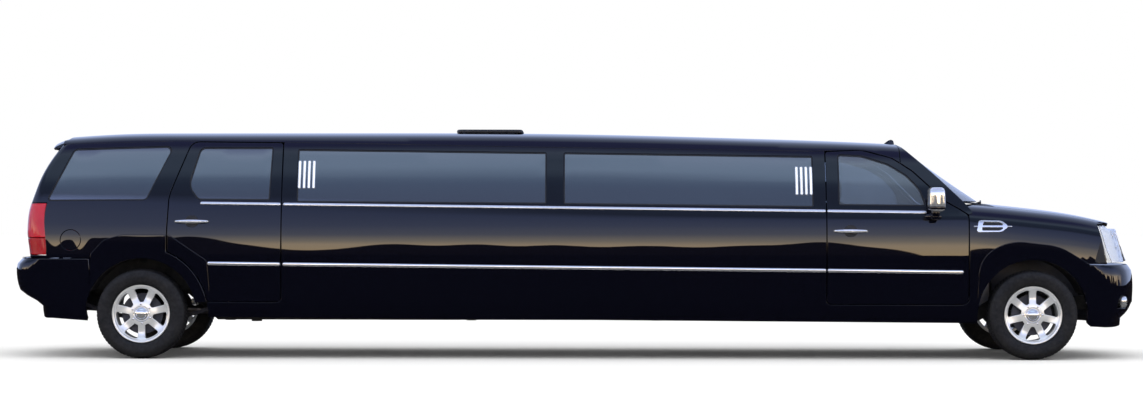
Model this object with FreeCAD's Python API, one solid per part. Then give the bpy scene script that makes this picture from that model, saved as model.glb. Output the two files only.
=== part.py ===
"""A stretched sport-utility limousine, modelled as an assembly of its real pieces.

Frame: +X points to the nose, +Y to the left side, +Z up. The origin is on the ground under the middle
of the car. All sizes are millimetres. Outlines in side view are lists of (x, z) or (x, z, corner radius).
"""

import math
import os

import FreeCAD
import Part

V = FreeCAD.Vector
OUT = "parts"

# Main dimensions
LENGTH = 9715.0
NOSE_X = LENGTH / 2
TAIL_X = -LENGTH / 2
FRONT_OVERHANG = 1003.0
WHEELBASE = 7519.0
FRONT_AXLE_X = NOSE_X - FRONT_OVERHANG
REAR_AXLE_X = FRONT_AXLE_X - WHEELBASE
HALF_WIDTH = 985.0
ROOF_Z = 1928.0

# Walls and gaps
WALL = 74.0
DOOR_SKIN = 16.0
DOOR_REBATE = 24.0
SHUT_GAP = 8.0
GLASS_INSET = 7.0
GLASS_THICK = 6.0
GLASS_CLEAR = 0.3
SEAT_CLEAR = 0.3

# Wheels
TYRE_R = 378.0
TYRE_WIDTH = 265.0
RIM_R = 229.0
RIM_LIP_R = 245.0
RIM_WIDTH = 216.0
SPOKES = 7
SPOKE_WIDTH = 62.0
HUB_R = 98.0
BORE_R = 38.0
SPINDLE_CLEAR = 0.05
DISC_R = 172.0
DISC_THICK = 28.0
TRACK = 1714.0
WHEEL_Y = TRACK / 2
ARCH_R = 468.0
FLARE_R = 556.0
FLARE_PROUD = 20.0
LINER_THICK = 6.0

# Heights of the side lines at x = 0, and their fall per millimetre towards the nose
BELT_Z = 1277.0
BELT_FALL = 0.0109
STRIP_Z = 773.0
STRIP_FALL = 0.0099

# Shut lines in side view
REAR_DOOR_FRONT_X = -2480.0
FRONT_DOOR_REAR_X = 2109.0
FRONT_DOOR_FRONT_X = 3315.0
REAR_DOOR_REAR_X = -3450.0

# Fore and aft ends of panels
ROOF_FRONT_X = 2752.0
ROOF_REAR_X = -4330.0
COWL_X = 3560.0
HOOD_HALF = 742.0
LAMP_INNER_Y = 556.0
GRILLE_HALF = 540.0
TAILGATE_HALF = 782.0
TAILGATE_BOTTOM = 852.0
TAIL_LAMP_INNER_Y = 790.0
LAMP_FRONT_X = -4470.0
LAMP_BOTTOM = 815.0
FRONT_DOOR_BOTTOM = 462.0
REAR_DOOR_BOTTOM = 475.0
ARCH_TO_DOOR = 96.0
DOOR_CORNER = 60.0
TAIL_WALL = 60.0
SCREEN_INSET = 8.0
SCREEN_RUN = 12.7
TRIM_PROUD = 5.0
HATCH_X0 = -1037.0
HATCH_X1 = -460.0
HATCH_HALF_Y = 290.0
HATCH_LIP = 26.0
HATCH_TOP = 1958.0
HATCH_PIN_R = 2.9
HATCH_PIN_PLACES = ((-240, -150), (150, 240))
HATCH_DEEP = 26.2
FIREWALL_X = 3436.0
HOOD_LIP_Z = 1116.0

# Hinge pins
PIN_R = 3.7
PIN_LONG = 90.0
PIN_Y = 981.3
PIN_OFFSET = 60.0
DOOR_PIN_PLACES = (760.0, 940.0)

# Lamps, grille and plates
LAMP_DEPTH = 110.0
GRILLE_TOP = 1106.0
GRILLE_BOTTOM = 828.0
GRILLE_DEPTH = 46.0
GRILLE_FRAME = 24.0
GRILLE_BAR = 9.0
GRILLE_ROWS = 5
GRILLE_COLUMNS = 15
PLATE_POCKET_Y = 165.0
PLATE_FRONT_Z = 600.0
PLATE_REAR_Z = 1075.0
PLATE_REAR_X = -4712.0

# Underbody
FRAME_Y = 430.0
FRAME_RAIL_W = 84.0
FRAME_Z0 = 312.0
FRAME_Z1 = 430.0
FLOOR_Z = 448.0
FLOOR_THICK = 26.0
AXLE_TUBE_R = 44.0
SHAFT_R = 36.0
SHAFT_Z = 382.0
FRAME_MID_Z = 371.0
MOUNT_PLACES = (-2600, -1200, 200, 1600, 2900)
JACK_PLACES = (-2750, 2950)
JACK_PAD_R = 45.0
JACK_PAD_H = 14.0
CROSS_PLACES = (-2980, -900, 700, 2300, 3050)
BEARING_PLACES = (-900, 700)
FLOOR_STEP_X = -3060.0
CARGO_Z = 668.0
HOUSING_IN_Y = 660.0
HOUSING_FRONT_Y = 560.0
HOUSING_OUT_Y = 908.0
KINGPIN_Y = 700.0
KNUCKLE_Z0 = 285.0
KNUCKLE_Z1 = 545.0
KNUCKLE_R = 18.0
SPINDLE_END = 60.0
AXLE_TUBE_END = 810.0
SPRING_Y0 = 500.0
SPRING_Y1 = 560.0
ENGINE_X0 = 3600.0
ENGINE_X1 = 4350.0
ENGINE_HALF_Y = 330.0
EXHAUST_Y = 250.0
EXHAUST_R = 32.0

# Inside and trim
DASH_HALF_Y = 790.0
DRIVER_Y = 400.0
FRONT_HANDLE_Z = 1085.0
REAR_HANDLE_Z = 1157.0
BELT_STRIP = 24.0
SIDE_STRIP = 30.0
STRIP_CLEAR = 10.0

# Ends in plan
FENDER_WALL = 52.0
HOOD_THICK = 38.0
NOSE_BOW = 1650.0
NOSE_CORNER_Y = 690.0
NOSE_CORNER = 190.0
TAIL_BOW = 4000.0
TAIL_CORNER_Y = 800.0
TAIL_CORNER = 150.0
BUMPER_WALL = 60.0
BUMPER_BOW = 2600.0

# Number plate holes
PLATE_HOLE_R = 3.5
PLATE_HOLE_PITCH = 177.8
PLATE_HOLE_RISE = 120.65

# Tables of driving heights and widths: (x, value) or (z, value)
ROOF_LINE = [(-4900, 1838), (-4400, 1886), (-3900, 1916), (-3300, 1925), (-1650, ROOF_Z), (-50, 1922),
             (1050, 1900), (2050, 1869), (2640, 1845), (3700, 1770)]
WIDTH_LINE = [(-4900, 885), (-4600, 934), (-4300, 965), (-3900, 980), (-3400, HALF_WIDTH),
              (3400, HALF_WIDTH), (3900, 982), (4300, 962), (4600, 915), (4900, 850)]
RAIL_LINE = [(-4800, 1788), (-4300, 1814), (-3400, 1840), (-2500, 1832), (-250, 1790), (2005, 1763),
             (2420, 1777), (2760, 1752)]
HOOD_LINE = [(3200, 1350), (3600, 1318), (3870, 1291), (4200, 1250), (4450, 1203), (4650, 1152), (4900, 1075)]
NOSE_LINE = [(250, 4800), (829, 4794), (1006, 4745), (1110, 4705), (1150, 4650), (1200, 4560), (1400, 4200)]
FRONT_BUMPER_LINE = [(240, 4740), (330, 4752), (400, 4822), (470, 4851), (600, NOSE_X), (700, 4853),
                     (760, 4838), (815, 4794), (900, 4720)]
TAIL_LINE = [(300, -4700), (888, -4710), (985, -4727), (1083, -4732), (1212, -4726), (1310, -4700),
             (1374, -4676), (1522, -4619), (1653, -4547), (1776, -4457), (1850, -4396), (1990, -4260)]
REAR_BUMPER_LINE = [(300, -4560), (470, -4640), (505, -4745), (580, -4832), (674, -4853), (755, TAIL_X),
                    (800, -4846), (850, -4790), (950, -4700)]
SCREEN_LINE = [(1260, 3622), (1335, 3512), (1439, 3350), (1545, 3187), (1650, 3025), (1747, 2879), (1830, 2760)]
SILL_LINE = [(-4900, 328), (-4060, 332), (-2876, 348), (3238, 308), (4250, 302), (4354, 272), (4900, 264)]
END_ROWS = 14
END_COLUMNS = 14
CABIN_STATIONS = [-4900, -4600, -4300, -3900, -3400, -2000, 0, 1500, 2600, 3700]
FRONT_STATIONS = [3200, 3600, 3900, 4200, 4450, 4650, 4900]


def table(line, at):
    """Value of a table of (place, value) pairs at a place, straight between its entries."""
    if at <= line[0][0]:
        return line[0][1]
    for (a, low), (b, high) in zip(line, line[1:]):
        if at <= b:
            return low + (high - low) * (at - a) / (b - a)
    return line[-1][1]


def belt(x):
    return BELT_Z - BELT_FALL * x


def strip(x):
    return STRIP_Z - STRIP_FALL * x


def sill(x):
    return table(SILL_LINE, x)


def rail(x):
    return table(RAIL_LINE, x)


def outline(points, place):
    """Closed wire through (u, v) points; a third number rounds that corner."""
    corners = [V(p[0], p[1], 0) for p in points]
    radii = [p[2] if len(p) > 2 else 0.0 for p in points]
    count = len(corners)
    ends = []
    for i, corner in enumerate(corners):
        before = (corners[i - 1] - corner).normalize()
        after = (corners[(i + 1) % count] - corner).normalize()
        half_angle = before.getAngle(after) / 2
        run = radii[i] / math.tan(half_angle) if radii[i] else 0.0
        bisector = before + after
        middle = corner
        if radii[i]:
            middle = corner + bisector.normalize() * (radii[i] / math.sin(half_angle) - radii[i])
        ends.append((corner + before * run, middle, corner + after * run))
    edges = []
    for i, (start, middle, stop) in enumerate(ends):
        if radii[i]:
            edges.append(Part.Arc(place(start), place(middle), place(stop)).toShape())
        following = ends[(i + 1) % count][0]
        if (following - stop).Length > 1e-6:
            edges.append(Part.makeLine(place(stop), place(following)))
    return Part.Wire(edges)


def side_plate(points, y0, y1):
    """Solid between y0 and y1 with an outline of (x, z) points."""
    wire = outline(points, lambda p: V(p.x, y0, p.y))
    return Part.Face(wire).extrude(V(0, y1 - y0, 0))


def plan_plate(points, z0, z1):
    """Solid between z0 and z1 with an outline of (x, y) points."""
    wire = outline(points, lambda p: V(p.x, p.y, z0))
    return Part.Face(wire).extrude(V(0, 0, z1 - z0))


def end_plate(points, x0, x1):
    """Solid between x0 and x1 with an outline of (y, z) points."""
    wire = outline(points, lambda p: V(x0, p.x, p.y))
    return Part.Face(wire).extrude(V(x1 - x0, 0, 0))


def block(x0, x1, y0, y1, z0, z1):
    return Part.makeBox(x1 - x0, y1 - y0, z1 - z0, V(x0, y0, z0))


def cross_cylinder(x, z, radius, y0, y1):
    return Part.makeCylinder(radius, y1 - y0, V(x, y0, z), V(0, 1, 0))


def tube_x(x0, x1, y, z, radius):
    return Part.makeCylinder(radius, x1 - x0, V(x0, y, z), V(1, 0, 0))


def rod(start, stop, radius):
    way = stop - start
    return Part.makeCylinder(radius, way.Length, start, way)


def spin_y(profile, x, z):
    """Solid of revolution about the line parallel to Y through (x, z); profile is (radius, y) points."""
    wire = Part.makePolygon([V(x + r, y, z) for r, y in profile] + [V(x + profile[0][0], profile[0][1], z)])
    return Part.Face(wire).revolve(V(x, 0, z), V(0, 1, 0), 360)


def mirrored(shape):
    return shape.mirror(V(0, 0, 0), V(0, 1, 0))


def pair(shape):
    return Part.makeCompound([shape, mirrored(shape)])


def fuse(shapes):
    return shapes[0].fuse(shapes[1:]) if len(shapes) > 1 else shapes[0]


def parted(shape, stops, across=False):
    """Solids of a welded shape parted at the given x values, or at y values when across."""
    edges = [-2 * LENGTH] + sorted(stops) + [2 * LENGTH]
    solids = []
    for low, high in zip(edges[:-1], edges[1:]):
        span = (-LENGTH, LENGTH, low, high) if across else (low, high, -LENGTH, LENGTH)
        solids.extend(shape.common(block(*span, -LENGTH, LENGTH)).Solids)
    return solids


# Skin of the body

FAR = 1300.0
GAP = SHUT_GAP
GRILLE_OUTLINE = [(-GRILLE_HALF, GRILLE_TOP, 20), (-GRILLE_HALF + 18, 960, 60), (-GRILLE_HALF + 70, GRILLE_BOTTOM, 40),
                  (GRILLE_HALF - 70, GRILLE_BOTTOM, 40), (GRILLE_HALF - 18, 960, 60), (GRILLE_HALF, GRILLE_TOP, 20)]
TAILGATE_OUTLINE = [(-TAILGATE_HALF, TAILGATE_BOTTOM, 60), (-TAILGATE_HALF + 12, 1330, 200), (-620, 2000),
                    (620, 2000), (TAILGATE_HALF - 12, 1330, 200), (TAILGATE_HALF, TAILGATE_BOTTOM, 60)]


def cabin_half(x):
    """Right half of the cabin's section at x: (half-width, z) from the sill to the roof's middle."""
    glass_foot = belt(x) + 18
    crown = table(ROOF_LINE, x)
    scale = table(WIDTH_LINE, x) / HALF_WIDTH

    def up(share):
        return glass_foot + (crown - glass_foot) * share

    section = [(905, sill(x)), (958, sill(x) + 95), (978, 600), (985, 850), (981, 1040), (965, 1180),
               (938, glass_foot), (886, up(0.32)), (828, up(0.58)), (776, up(0.78)), (724, up(0.885)),
               (620, up(0.945)), (380, up(0.985)), (0, crown)]
    return [(y * scale, z) for y, z in section]


def front_half(x):
    """Right half of the front end's section at x: (half-width, z) from the sill to the bonnet's middle."""
    crown = table(HOOD_LINE, x)
    scale = table(WIDTH_LINE, x) / HALF_WIDTH
    section = [(905, sill(x)), (958, sill(x) + 95), (978, min(600, crown - 560)), (985, crown - 460),
               (981, crown - 300), (966, crown - 180), (938, crown - 108), (880, crown - 62),
               (790, crown - 38), (600, crown - 20), (300, crown - 6), (0, crown)]
    return [(y * scale, z) for y, z in section]


def moved_in(section, depth):
    """The section moved inwards by depth, square to itself."""
    if not depth:
        return section
    moved = []
    last = len(section) - 1
    for i, (y, z) in enumerate(section):
        before = section[max(i - 1, 0)]
        after = section[min(i + 1, last)]
        along = V(after[0] - before[0], after[1] - before[1], 0).normalize()
        moved.append((y - along.y * depth, z + along.x * depth))
    moved[0] = (moved[0][0], section[0][1] - 5)
    moved[-1] = (0, section[-1][1] - depth)
    return moved


def section_wire(half, x, depth):
    right = moved_in(half(x), depth)
    points = [V(x, -y, z) for y, z in right] + [V(x, y, z) for y, z in reversed(right[:-1])]
    curve = Part.BSplineCurve()
    curve.interpolate(points)
    return Part.Wire([curve.toShape(), Part.makeLine(points[-1], points[0])])


def skin_solid(half, stations, depth):
    """Solid inside the skin, depth below it."""
    places = list(stations)
    places[0] -= depth / 10
    places[-1] += depth / 10
    return Part.makeLoft([section_wire(half, x, depth) for x in places], True, False)


def end_surface(line, bow_radius, corner_y, corner_reach, facing, z0, z1):
    """Curved end face x = line(z), bowed in plan and rounded at its corners; facing is 1 at the nose."""
    rows = []
    for i in range(END_ROWS + 1):
        y = -1010 + 2020 * i / END_ROWS
        beyond = max(0.0, abs(y) - corner_y) / (HALF_WIDTH - corner_y)
        back = y * y / (2 * bow_radius) + corner_reach * beyond ** 2.6
        heights = [z0 + (z1 - z0) * j / END_COLUMNS for j in range(END_COLUMNS + 1)]
        rows.append([V(table(line, z) - facing * back, y, z) for z in heights])
    surface = Part.BSplineSurface()
    surface.interpolate(rows)
    return surface.toShape()


def screen_surface():
    """Windscreen face, bowed forward at its middle."""
    rows = []
    for i in range(13):
        y = -900 + 150 * i
        row = []
        for j in range(11):
            z = 1260 + 57 * j
            bow = 230 - 190 * (z - 1300) / 500
            row.append(V(table(SCREEN_LINE, z) - bow * (y / 870) ** 2, y, z))
        rows.append(row)
    surface = Part.BSplineSurface()
    surface.interpolate(rows)
    return surface.toShape()


class Skins:
    """The smooth solids that all body panels are cut from."""

    def __init__(self):
        self.right = block(-6000, 6000, -FAR, 0, 0, 2400)
        self.cabin = skin_solid(cabin_half, CABIN_STATIONS, 0)
        self.cabin_in = skin_solid(cabin_half, CABIN_STATIONS, WALL)
        self.cabin_skin = skin_solid(cabin_half, CABIN_STATIONS, DOOR_SKIN)
        self.glass_out = skin_solid(cabin_half, CABIN_STATIONS, GLASS_INSET)
        self.glass_in = skin_solid(cabin_half, CABIN_STATIONS, GLASS_INSET + GLASS_THICK)
        self.cabin_trim = skin_solid(cabin_half, CABIN_STATIONS, -TRIM_PROUD)
        self.room = skin_solid(cabin_half, CABIN_STATIONS, WALL + SEAT_CLEAR)
        self.bead = skin_solid(cabin_half, CABIN_STATIONS, SCREEN_INSET)
        self.front = skin_solid(front_half, FRONT_STATIONS, 0)
        self.front_in = skin_solid(front_half, FRONT_STATIONS, FENDER_WALL)
        self.hood_in = skin_solid(front_half, FRONT_STATIONS, HOOD_THICK)
        self.hood_room = skin_solid(front_half, FRONT_STATIONS, HOOD_THICK + GAP)
        self.front_room = skin_solid(front_half, FRONT_STATIONS, FENDER_WALL + SEAT_CLEAR)
        self.front_trim = skin_solid(front_half, FRONT_STATIONS, -TRIM_PROUD)
        nose = end_surface(NOSE_LINE, NOSE_BOW, NOSE_CORNER_Y, NOSE_CORNER, 1, 250, 1400)
        self.ahead_of_nose = nose.extrude(V(1200, 0, 0))
        tail = end_surface(TAIL_LINE, TAIL_BOW, TAIL_CORNER_Y, TAIL_CORNER, -1, 300, 1990)
        self.behind_tail = tail.extrude(V(-1200, 0, 0))
        self.ahead_of_screen = screen_surface().extrude(V(3000, 0, 0))
        self.tailgate_zone = end_plate(TAILGATE_OUTLINE, -5200, ROOF_REAR_X)
        self.tail_lamp_zone = through([(LAMP_FRONT_X, 873), (LAMP_FRONT_X, 1309), (-5200, 1309), (-5200, 873)],
                                      reach=FAR - TAIL_LAMP_INNER_Y)
        self.head_lamp_zone = through([(4411, 1200), (4411, 1130), (4482, LAMP_BOTTOM), (5000, LAMP_BOTTOM),
                                       (5000, 1200)], reach=FAR - LAMP_INNER_Y)
        self.rear_bumper_zone = side_plate([(-4094, 200), (-4094, 845), (-5200, 845), (-5200, 200)], -FAR, FAR)
        self.front_bumper_zone = side_plate([(4259, 200), (4259, 805), (5100, 805), (5100, 200)], -FAR, FAR)
        self.hood_zone = block(3200, 5200, -HOOD_HALF, HOOD_HALF, 200, 1500)

    def wall(self, cutter):
        """Cabin wall inside a cutter."""
        return self.cabin.common(cutter).cut(self.cabin_in)

    def strip_on_cabin(self, cutter):
        return self.cabin_trim.common(cutter).cut(self.cabin)

    def rear_shell(self, cutter):
        """Rear end shell inside a cutter: the side and roof wall, closed by the curved tail."""
        solid = self.cabin.common(cutter).cut(self.behind_tail)
        return solid.cut(self.cabin_in.common(cutter).cut(moved(self.behind_tail, TAIL_WALL)))

    def front_shell(self, cutter, depth=FENDER_WALL):
        """Front end shell inside a cutter: the fender wall, closed by the curved nose."""
        solid = self.front.common(cutter).cut(self.ahead_of_nose)
        return solid.cut(self.front_in.common(cutter).cut(moved(self.ahead_of_nose, -depth)))


def moved(shape, along_x):
    return shape.translated(V(along_x, 0, 0))


def side_face(points):
    return Part.Face(outline(points, lambda p: V(p.x, -FAR, p.y)))


def through(points, inset=0.0, reach=FAR):
    """Cutter through the right side with a side-view outline, inset all round."""
    face = side_face(points)
    if inset:
        face = face.makeOffset2D(-inset, 2)
    return face.extrude(V(0, reach, 0))


def door(skins, points, glass, arch=None):
    """Door of two layers: an outer skin with the shut gap, and an inner frame set back from it."""
    outer = through(points, GAP)
    inner = through(points, GAP + DOOR_REBATE)
    if arch:
        outer = outer.cut(arch(ARCH_R + ARCH_TO_DOOR + GAP))
        inner = inner.cut(arch(ARCH_R + ARCH_TO_DOOR + GAP + DOOR_REBATE))
    hole = through(glass)
    skin = skins.cabin.common(outer.cut(hole)).cut(skins.cabin_skin)
    frame = skins.cabin_skin.common(inner.cut(hole)).cut(skins.cabin_in)
    return skin.fuse(frame)


def pane(skins, glass):
    return skins.glass_out.common(through(glass, GLASS_CLEAR)).cut(skins.glass_in)


def arch_cutter(axle_x):
    return lambda radius: cross_cylinder(axle_x, TYRE_R, radius, -FAR, -400)


# Side-view outlines


def roof_edge(x):
    return (x, rail(x))


def front_door_outline():
    return [(FRONT_DOOR_REAR_X, FRONT_DOOR_BOTTOM, 40), (FRONT_DOOR_REAR_X, rail(FRONT_DOOR_REAR_X), 30),
            (2420, rail(2420), 150), (2680, 1710, 200), (2850, 1598, 200), (2985, 1470, 200), (3110, 1345, 120),
            (3220, 1285, 60), (FRONT_DOOR_FRONT_X, 1225, 60), (FRONT_DOOR_FRONT_X, FRONT_DOOR_BOTTOM, 60)]


def rear_door_outline():
    return [(REAR_DOOR_FRONT_X, REAR_DOOR_BOTTOM, 40), (REAR_DOOR_REAR_X, REAR_DOOR_BOTTOM),
            (REAR_DOOR_REAR_X, 1100, 200), (-3437, 1375, 300), (-3262, rail(-3262), 90),
            (REAR_DOOR_FRONT_X, rail(REAR_DOOR_FRONT_X), 30)]


FRONT_DOOR_GLASS = [(2217, 1303, 18), (2217, 1737, 30), (2420, 1727, 120), (2642, 1656, 200), (2796, 1561, 200),
                    (2901, 1450, 200), (2957, 1298, 18)]
REAR_DOOR_GLASS = [(-2583, 1337, 20), (-3190, 1340, 60), (-3273, 1457, 120), (-3184, 1786, 60), (-2567, 1787, 20)]
STRETCH_GLASS_REAR = [(-2357, 1323, 16), (-2357, 1771, 16), (-250, 1747, 16), (-250, 1311, 16)]
STRETCH_GLASS_FRONT = [(-105, 1309, 16), (-105, 1746, 16), (2005, 1720, 16), (2005, 1287, 16)]
QUARTER_GLASS = [(-4261, 1772, 60), (-3408, 1798, 40), (-3624, 1335, 50), (-4469, 1329, 20)]


# Body panels


def lower_outline(x0, x1):
    """Side-view region from the sill to the roof rail between x0 and x1."""
    edge = [roof_edge(x) for x, _ in RAIL_LINE if x0 < x < x1]
    return [(x0, 250), roof_edge(x0)] + edge + [roof_edge(x1), (x1, 250)]


def stretch_side(skins):
    """Long side panel between the doors with the two big windows, and the rocker below all openings."""
    region = through(lower_outline(REAR_DOOR_FRONT_X - DOOR_CORNER, FRONT_DOOR_REAR_X + DOOR_CORNER))
    rocker = block(REAR_AXLE_X, FRONT_DOOR_FRONT_X, -FAR, 0, 250, FRONT_DOOR_BOTTOM + DOOR_CORNER)
    region = region.fuse(rocker).cut(through(rear_door_outline())).cut(through(front_door_outline()))
    region = region.cut(arch_cutter(REAR_AXLE_X)(ARCH_R + ARCH_TO_DOOR))
    for glass in (STRETCH_GLASS_REAR, STRETCH_GLASS_FRONT):
        region = region.cut(through(glass))
    return skins.wall(region)


def flare(axle_x):
    ring = spin_y([(ARCH_R, -HALF_WIDTH - FLARE_PROUD), (ARCH_R + 40, -HALF_WIDTH - FLARE_PROUD),
                   (FLARE_R, -HALF_WIDTH + 2), (FLARE_R, -HALF_WIDTH + 45), (ARCH_R, -HALF_WIDTH + 45)], axle_x, TYRE_R)
    return ring


def quarter_side(skins):
    """Quarter panel from the rear door to the tail, with its window and the rear wheel arch."""
    arch = arch_cutter(REAR_AXLE_X)
    region = through(lower_outline(-4900, REAR_DOOR_REAR_X + 400)).cut(through(rear_door_outline()))
    region = region.fuse(block(-4900, ROOF_REAR_X, -FAR, 0, 1700, 2100))
    low = block(REAR_AXLE_X, 0, -FAR, 0, 200, 900).cut(arch(ARCH_R + ARCH_TO_DOOR))
    region = region.cut(low).cut(through(QUARTER_GLASS)).cut(arch(ARCH_R))
    beside = arch(ARCH_R + ARCH_TO_DOOR).common(through(rear_door_outline())).cut(arch(ARCH_R))
    region = region.fuse(beside)
    region = region.cut(skins.tail_lamp_zone).cut(skins.tailgate_zone).cut(skins.rear_bumper_zone)
    shape = skins.rear_shell(region)
    ring = flare(REAR_AXLE_X).cut(block(-5000, REAR_AXLE_X, -FAR, 0, -200, 480))
    ring = ring.cut(block(REAR_AXLE_X, -2500, -FAR, 0, -200, 465)).cut(skins.rear_bumper_zone)
    return shape.fuse(ring)


def fender_side(skins):
    """Front fender with its wheel arch, behind the headlamp and above the bumper."""
    arch = arch_cutter(FRONT_AXLE_X)
    region = block(FRONT_DOOR_FRONT_X, 5000, -FAR, 0, 200, 1500).cut(arch(ARCH_R)).cut(skins.hood_zone)
    region = region.cut(skins.head_lamp_zone).cut(skins.front_bumper_zone)
    shape = skins.front_shell(region)
    ring = flare(FRONT_AXLE_X).cut(block(3000, FRONT_DOOR_FRONT_X, -FAR, 0, -200, 900))
    ring = ring.cut(block(3000, FRONT_AXLE_X, -FAR, 0, -200, 380))
    ring = ring.cut(skins.front_bumper_zone).cut(block(FRONT_AXLE_X, 5000, -FAR, 0, -200, 380))
    return shape.fuse(ring)


def upper_outline(x0, x1):
    """Side-view region above the doors and windows between x0 and x1."""
    edge = [roof_edge(-4900), roof_edge(-4300), roof_edge(-3400), roof_edge(-2500), roof_edge(-250),
            roof_edge(2005), (2420, rail(2420), 150), (2680, 1710, 200), (2850, 1598, 200), (2985, 1470, 200),
            (3110, 1345, 120), (3220, 1285, 60), (FRONT_DOOR_FRONT_X, 1225), (FRONT_DOOR_FRONT_X, 2100), (-4900, 2100)]
    return side_plate(edge, -FAR, FAR).common(block(x0, x1, -FAR, FAR, 1000, 2200))


def roof_panel(skins):
    """Roof skin with the hatch opening and the aerial fin."""
    middle = (HATCH_X0 + HATCH_X1) / 2
    half = (HATCH_X1 - HATCH_X0) / 2 - HATCH_LIP
    hole = plan_plate(rounded_box(middle - half, middle + half, HATCH_HALF_Y - HATCH_LIP, 60), 1700, 2100)
    fin = side_plate([(2692, 1800), (2692, 1845), (2745, 1878, 10), (2766, 1884, 3), (2775, 1850, 20), (2799, 1800)],
                     -9, 9)
    roof = skins.wall(upper_outline(ROOF_REAR_X, ROOF_FRONT_X).cut(hole))
    return roof.fuse(fin.cut(skins.cabin_in)).cut(moved(skins.ahead_of_screen, -SCREEN_RUN))


def rounded_box(x0, x1, half_y, radius):
    return [(x0, -half_y, radius), (x1, -half_y, radius), (x1, half_y, radius), (x0, half_y, radius)]


def windscreen_frame(skins):
    """Windscreen pillars and header, the cowl ahead of the glass, and the firewall."""
    pillars = skins.wall(upper_outline(ROOF_FRONT_X, FRONT_DOOR_FRONT_X))
    pillars = pillars.cut(moved(skins.ahead_of_screen, -SCREEN_RUN))
    cowl = skins.front.common(block(3200, COWL_X, -HOOD_HALF, HOOD_HALF, 1150, 1400)).cut(skins.hood_in)
    cowl = cowl.common(skins.ahead_of_screen)
    firewall = block(FIREWALL_X, FIREWALL_X + 24, -HOOD_HALF, HOOD_HALF, FLOOR_Z + FLOOR_THICK, 1400)
    firewall = firewall.common(skins.hood_in)
    for side in (-1, 1):
        edge = sorted((side * (HOUSING_FRONT_Y - SEAT_CLEAR), side * FAR))
        firewall = firewall.cut(cross_cylinder(FRONT_AXLE_X, TYRE_R, ARCH_R + LINER_THICK + SEAT_CLEAR, *edge))
    return Part.makeCompound([pillars, cowl, firewall])


def windscreen(skins):
    slab = moved(skins.ahead_of_screen, -SCREEN_RUN).cut(skins.ahead_of_screen)
    return slab.common(skins.bead).common(block(2500, 3700, -FAR, FAR, 1200, 2000)).cut(skins.front)


def hood(skins):
    top = block(COWL_X + GAP, 5000, -HOOD_HALF + GAP, HOOD_HALF - GAP, HOOD_LIP_Z, 1500)
    lid = skins.front.common(top).cut(skins.hood_in).cut(skins.ahead_of_nose)
    return fuse([lid] + cross_pins(COWL_X + GAP / 2, table(HOOD_LINE, COWL_X + GAP / 2), 1))


def tailgate(skins):
    zone = end_plate(inner_outline(TAILGATE_OUTLINE, GAP), -5200, ROOF_REAR_X - GAP)
    gate = skins.rear_shell(zone).cut(end_plate(TAILGATE_GLASS, -5200, -4000))
    plate = block(-5000, PLATE_REAR_X, -PLATE_POCKET_Y, PLATE_POCKET_Y, PLATE_REAR_Z - 85, PLATE_REAR_Z + 85)
    gate = gate.cut(plate)
    for y in (-PLATE_HOLE_PITCH / 2, PLATE_HOLE_PITCH / 2):
        for z in (-PLATE_HOLE_RISE / 2, PLATE_HOLE_RISE / 2):
            gate = gate.cut(tube_x(-4760, -4600, y, PLATE_REAR_Z + z, PLATE_HOLE_R))
    return fuse([gate] + cross_pins(ROOF_REAR_X - GAP / 2, table(ROOF_LINE, ROOF_REAR_X), -1))


def inner_outline(points, inset):
    """The (y, z) outline drawn in by inset at its sides and foot."""
    return [(p[0] - math.copysign(inset, p[0]), p[1] + (inset if p[1] < 1000 else 0)) + tuple(p[2:]) for p in points]


TAILGATE_GLASS = [(-640, 1375, 60), (-575, 1755, 60), (575, 1755, 60), (640, 1375, 60)]


def tailgate_glass(skins):
    plate = end_plate(shrunk(TAILGATE_GLASS, GLASS_CLEAR), -4900, -4300)
    return plate.common(moved(skins.behind_tail, 20)).cut(moved(skins.behind_tail, 12))


def shrunk(points, inset):
    middle = (min(p[1] for p in points) + max(p[1] for p in points)) / 2
    return [(p[0] - math.copysign(inset, p[0]), p[1] - math.copysign(inset, p[1] - middle)) + tuple(p[2:])
            for p in points]


def front_bumper(skins):
    face = end_surface(FRONT_BUMPER_LINE, NOSE_BOW, NOSE_CORNER_Y, NOSE_CORNER, 1, 240, 900)
    ahead = face.extrude(V(900, 0, 0))
    zone = skins.front_bumper_zone.common(skins.right).cut(arch_cutter(FRONT_AXLE_X)(ARCH_R))
    shape = skins.front.common(zone.cut(ahead))
    shape = shape.cut(skins.front_in.common(zone.cut(moved(ahead, -BUMPER_WALL))))
    ring = flare(FRONT_AXLE_X).common(zone).cut(block(4000, 5000, -FAR, 0, -200, 380))
    shape = shape.fuse(ring)
    shape = shape.fuse(mirrored(shape)).removeSplitter()
    pocket = block(NOSE_X - 14, 5000, -PLATE_POCKET_Y, PLATE_POCKET_Y, PLATE_FRONT_Z - 85, PLATE_FRONT_Z + 85)
    shape = shape.cut(pocket)
    for y in (-PLATE_HOLE_PITCH / 2, PLATE_HOLE_PITCH / 2):
        shape = shape.cut(tube_x(4700, 4900, y, PLATE_FRONT_Z, PLATE_HOLE_R))
    return shape


def rear_bumper(skins):
    face = end_surface(REAR_BUMPER_LINE, BUMPER_BOW, TAIL_CORNER_Y, TAIL_CORNER, -1, 300, 900)
    behind = face.extrude(V(-900, 0, 0))
    zone = skins.rear_bumper_zone.common(skins.right).cut(arch_cutter(REAR_AXLE_X)(ARCH_R))
    shape = skins.cabin.common(zone.cut(behind))
    shape = shape.cut(skins.cabin_in.common(zone.cut(moved(behind, BUMPER_WALL))))
    ring = flare(REAR_AXLE_X).common(zone).cut(block(-5000, -3700, -FAR, 0, -200, 480))
    shape = shape.fuse(ring)
    return shape.fuse(mirrored(shape)).removeSplitter()


# Lamps and grille


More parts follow.
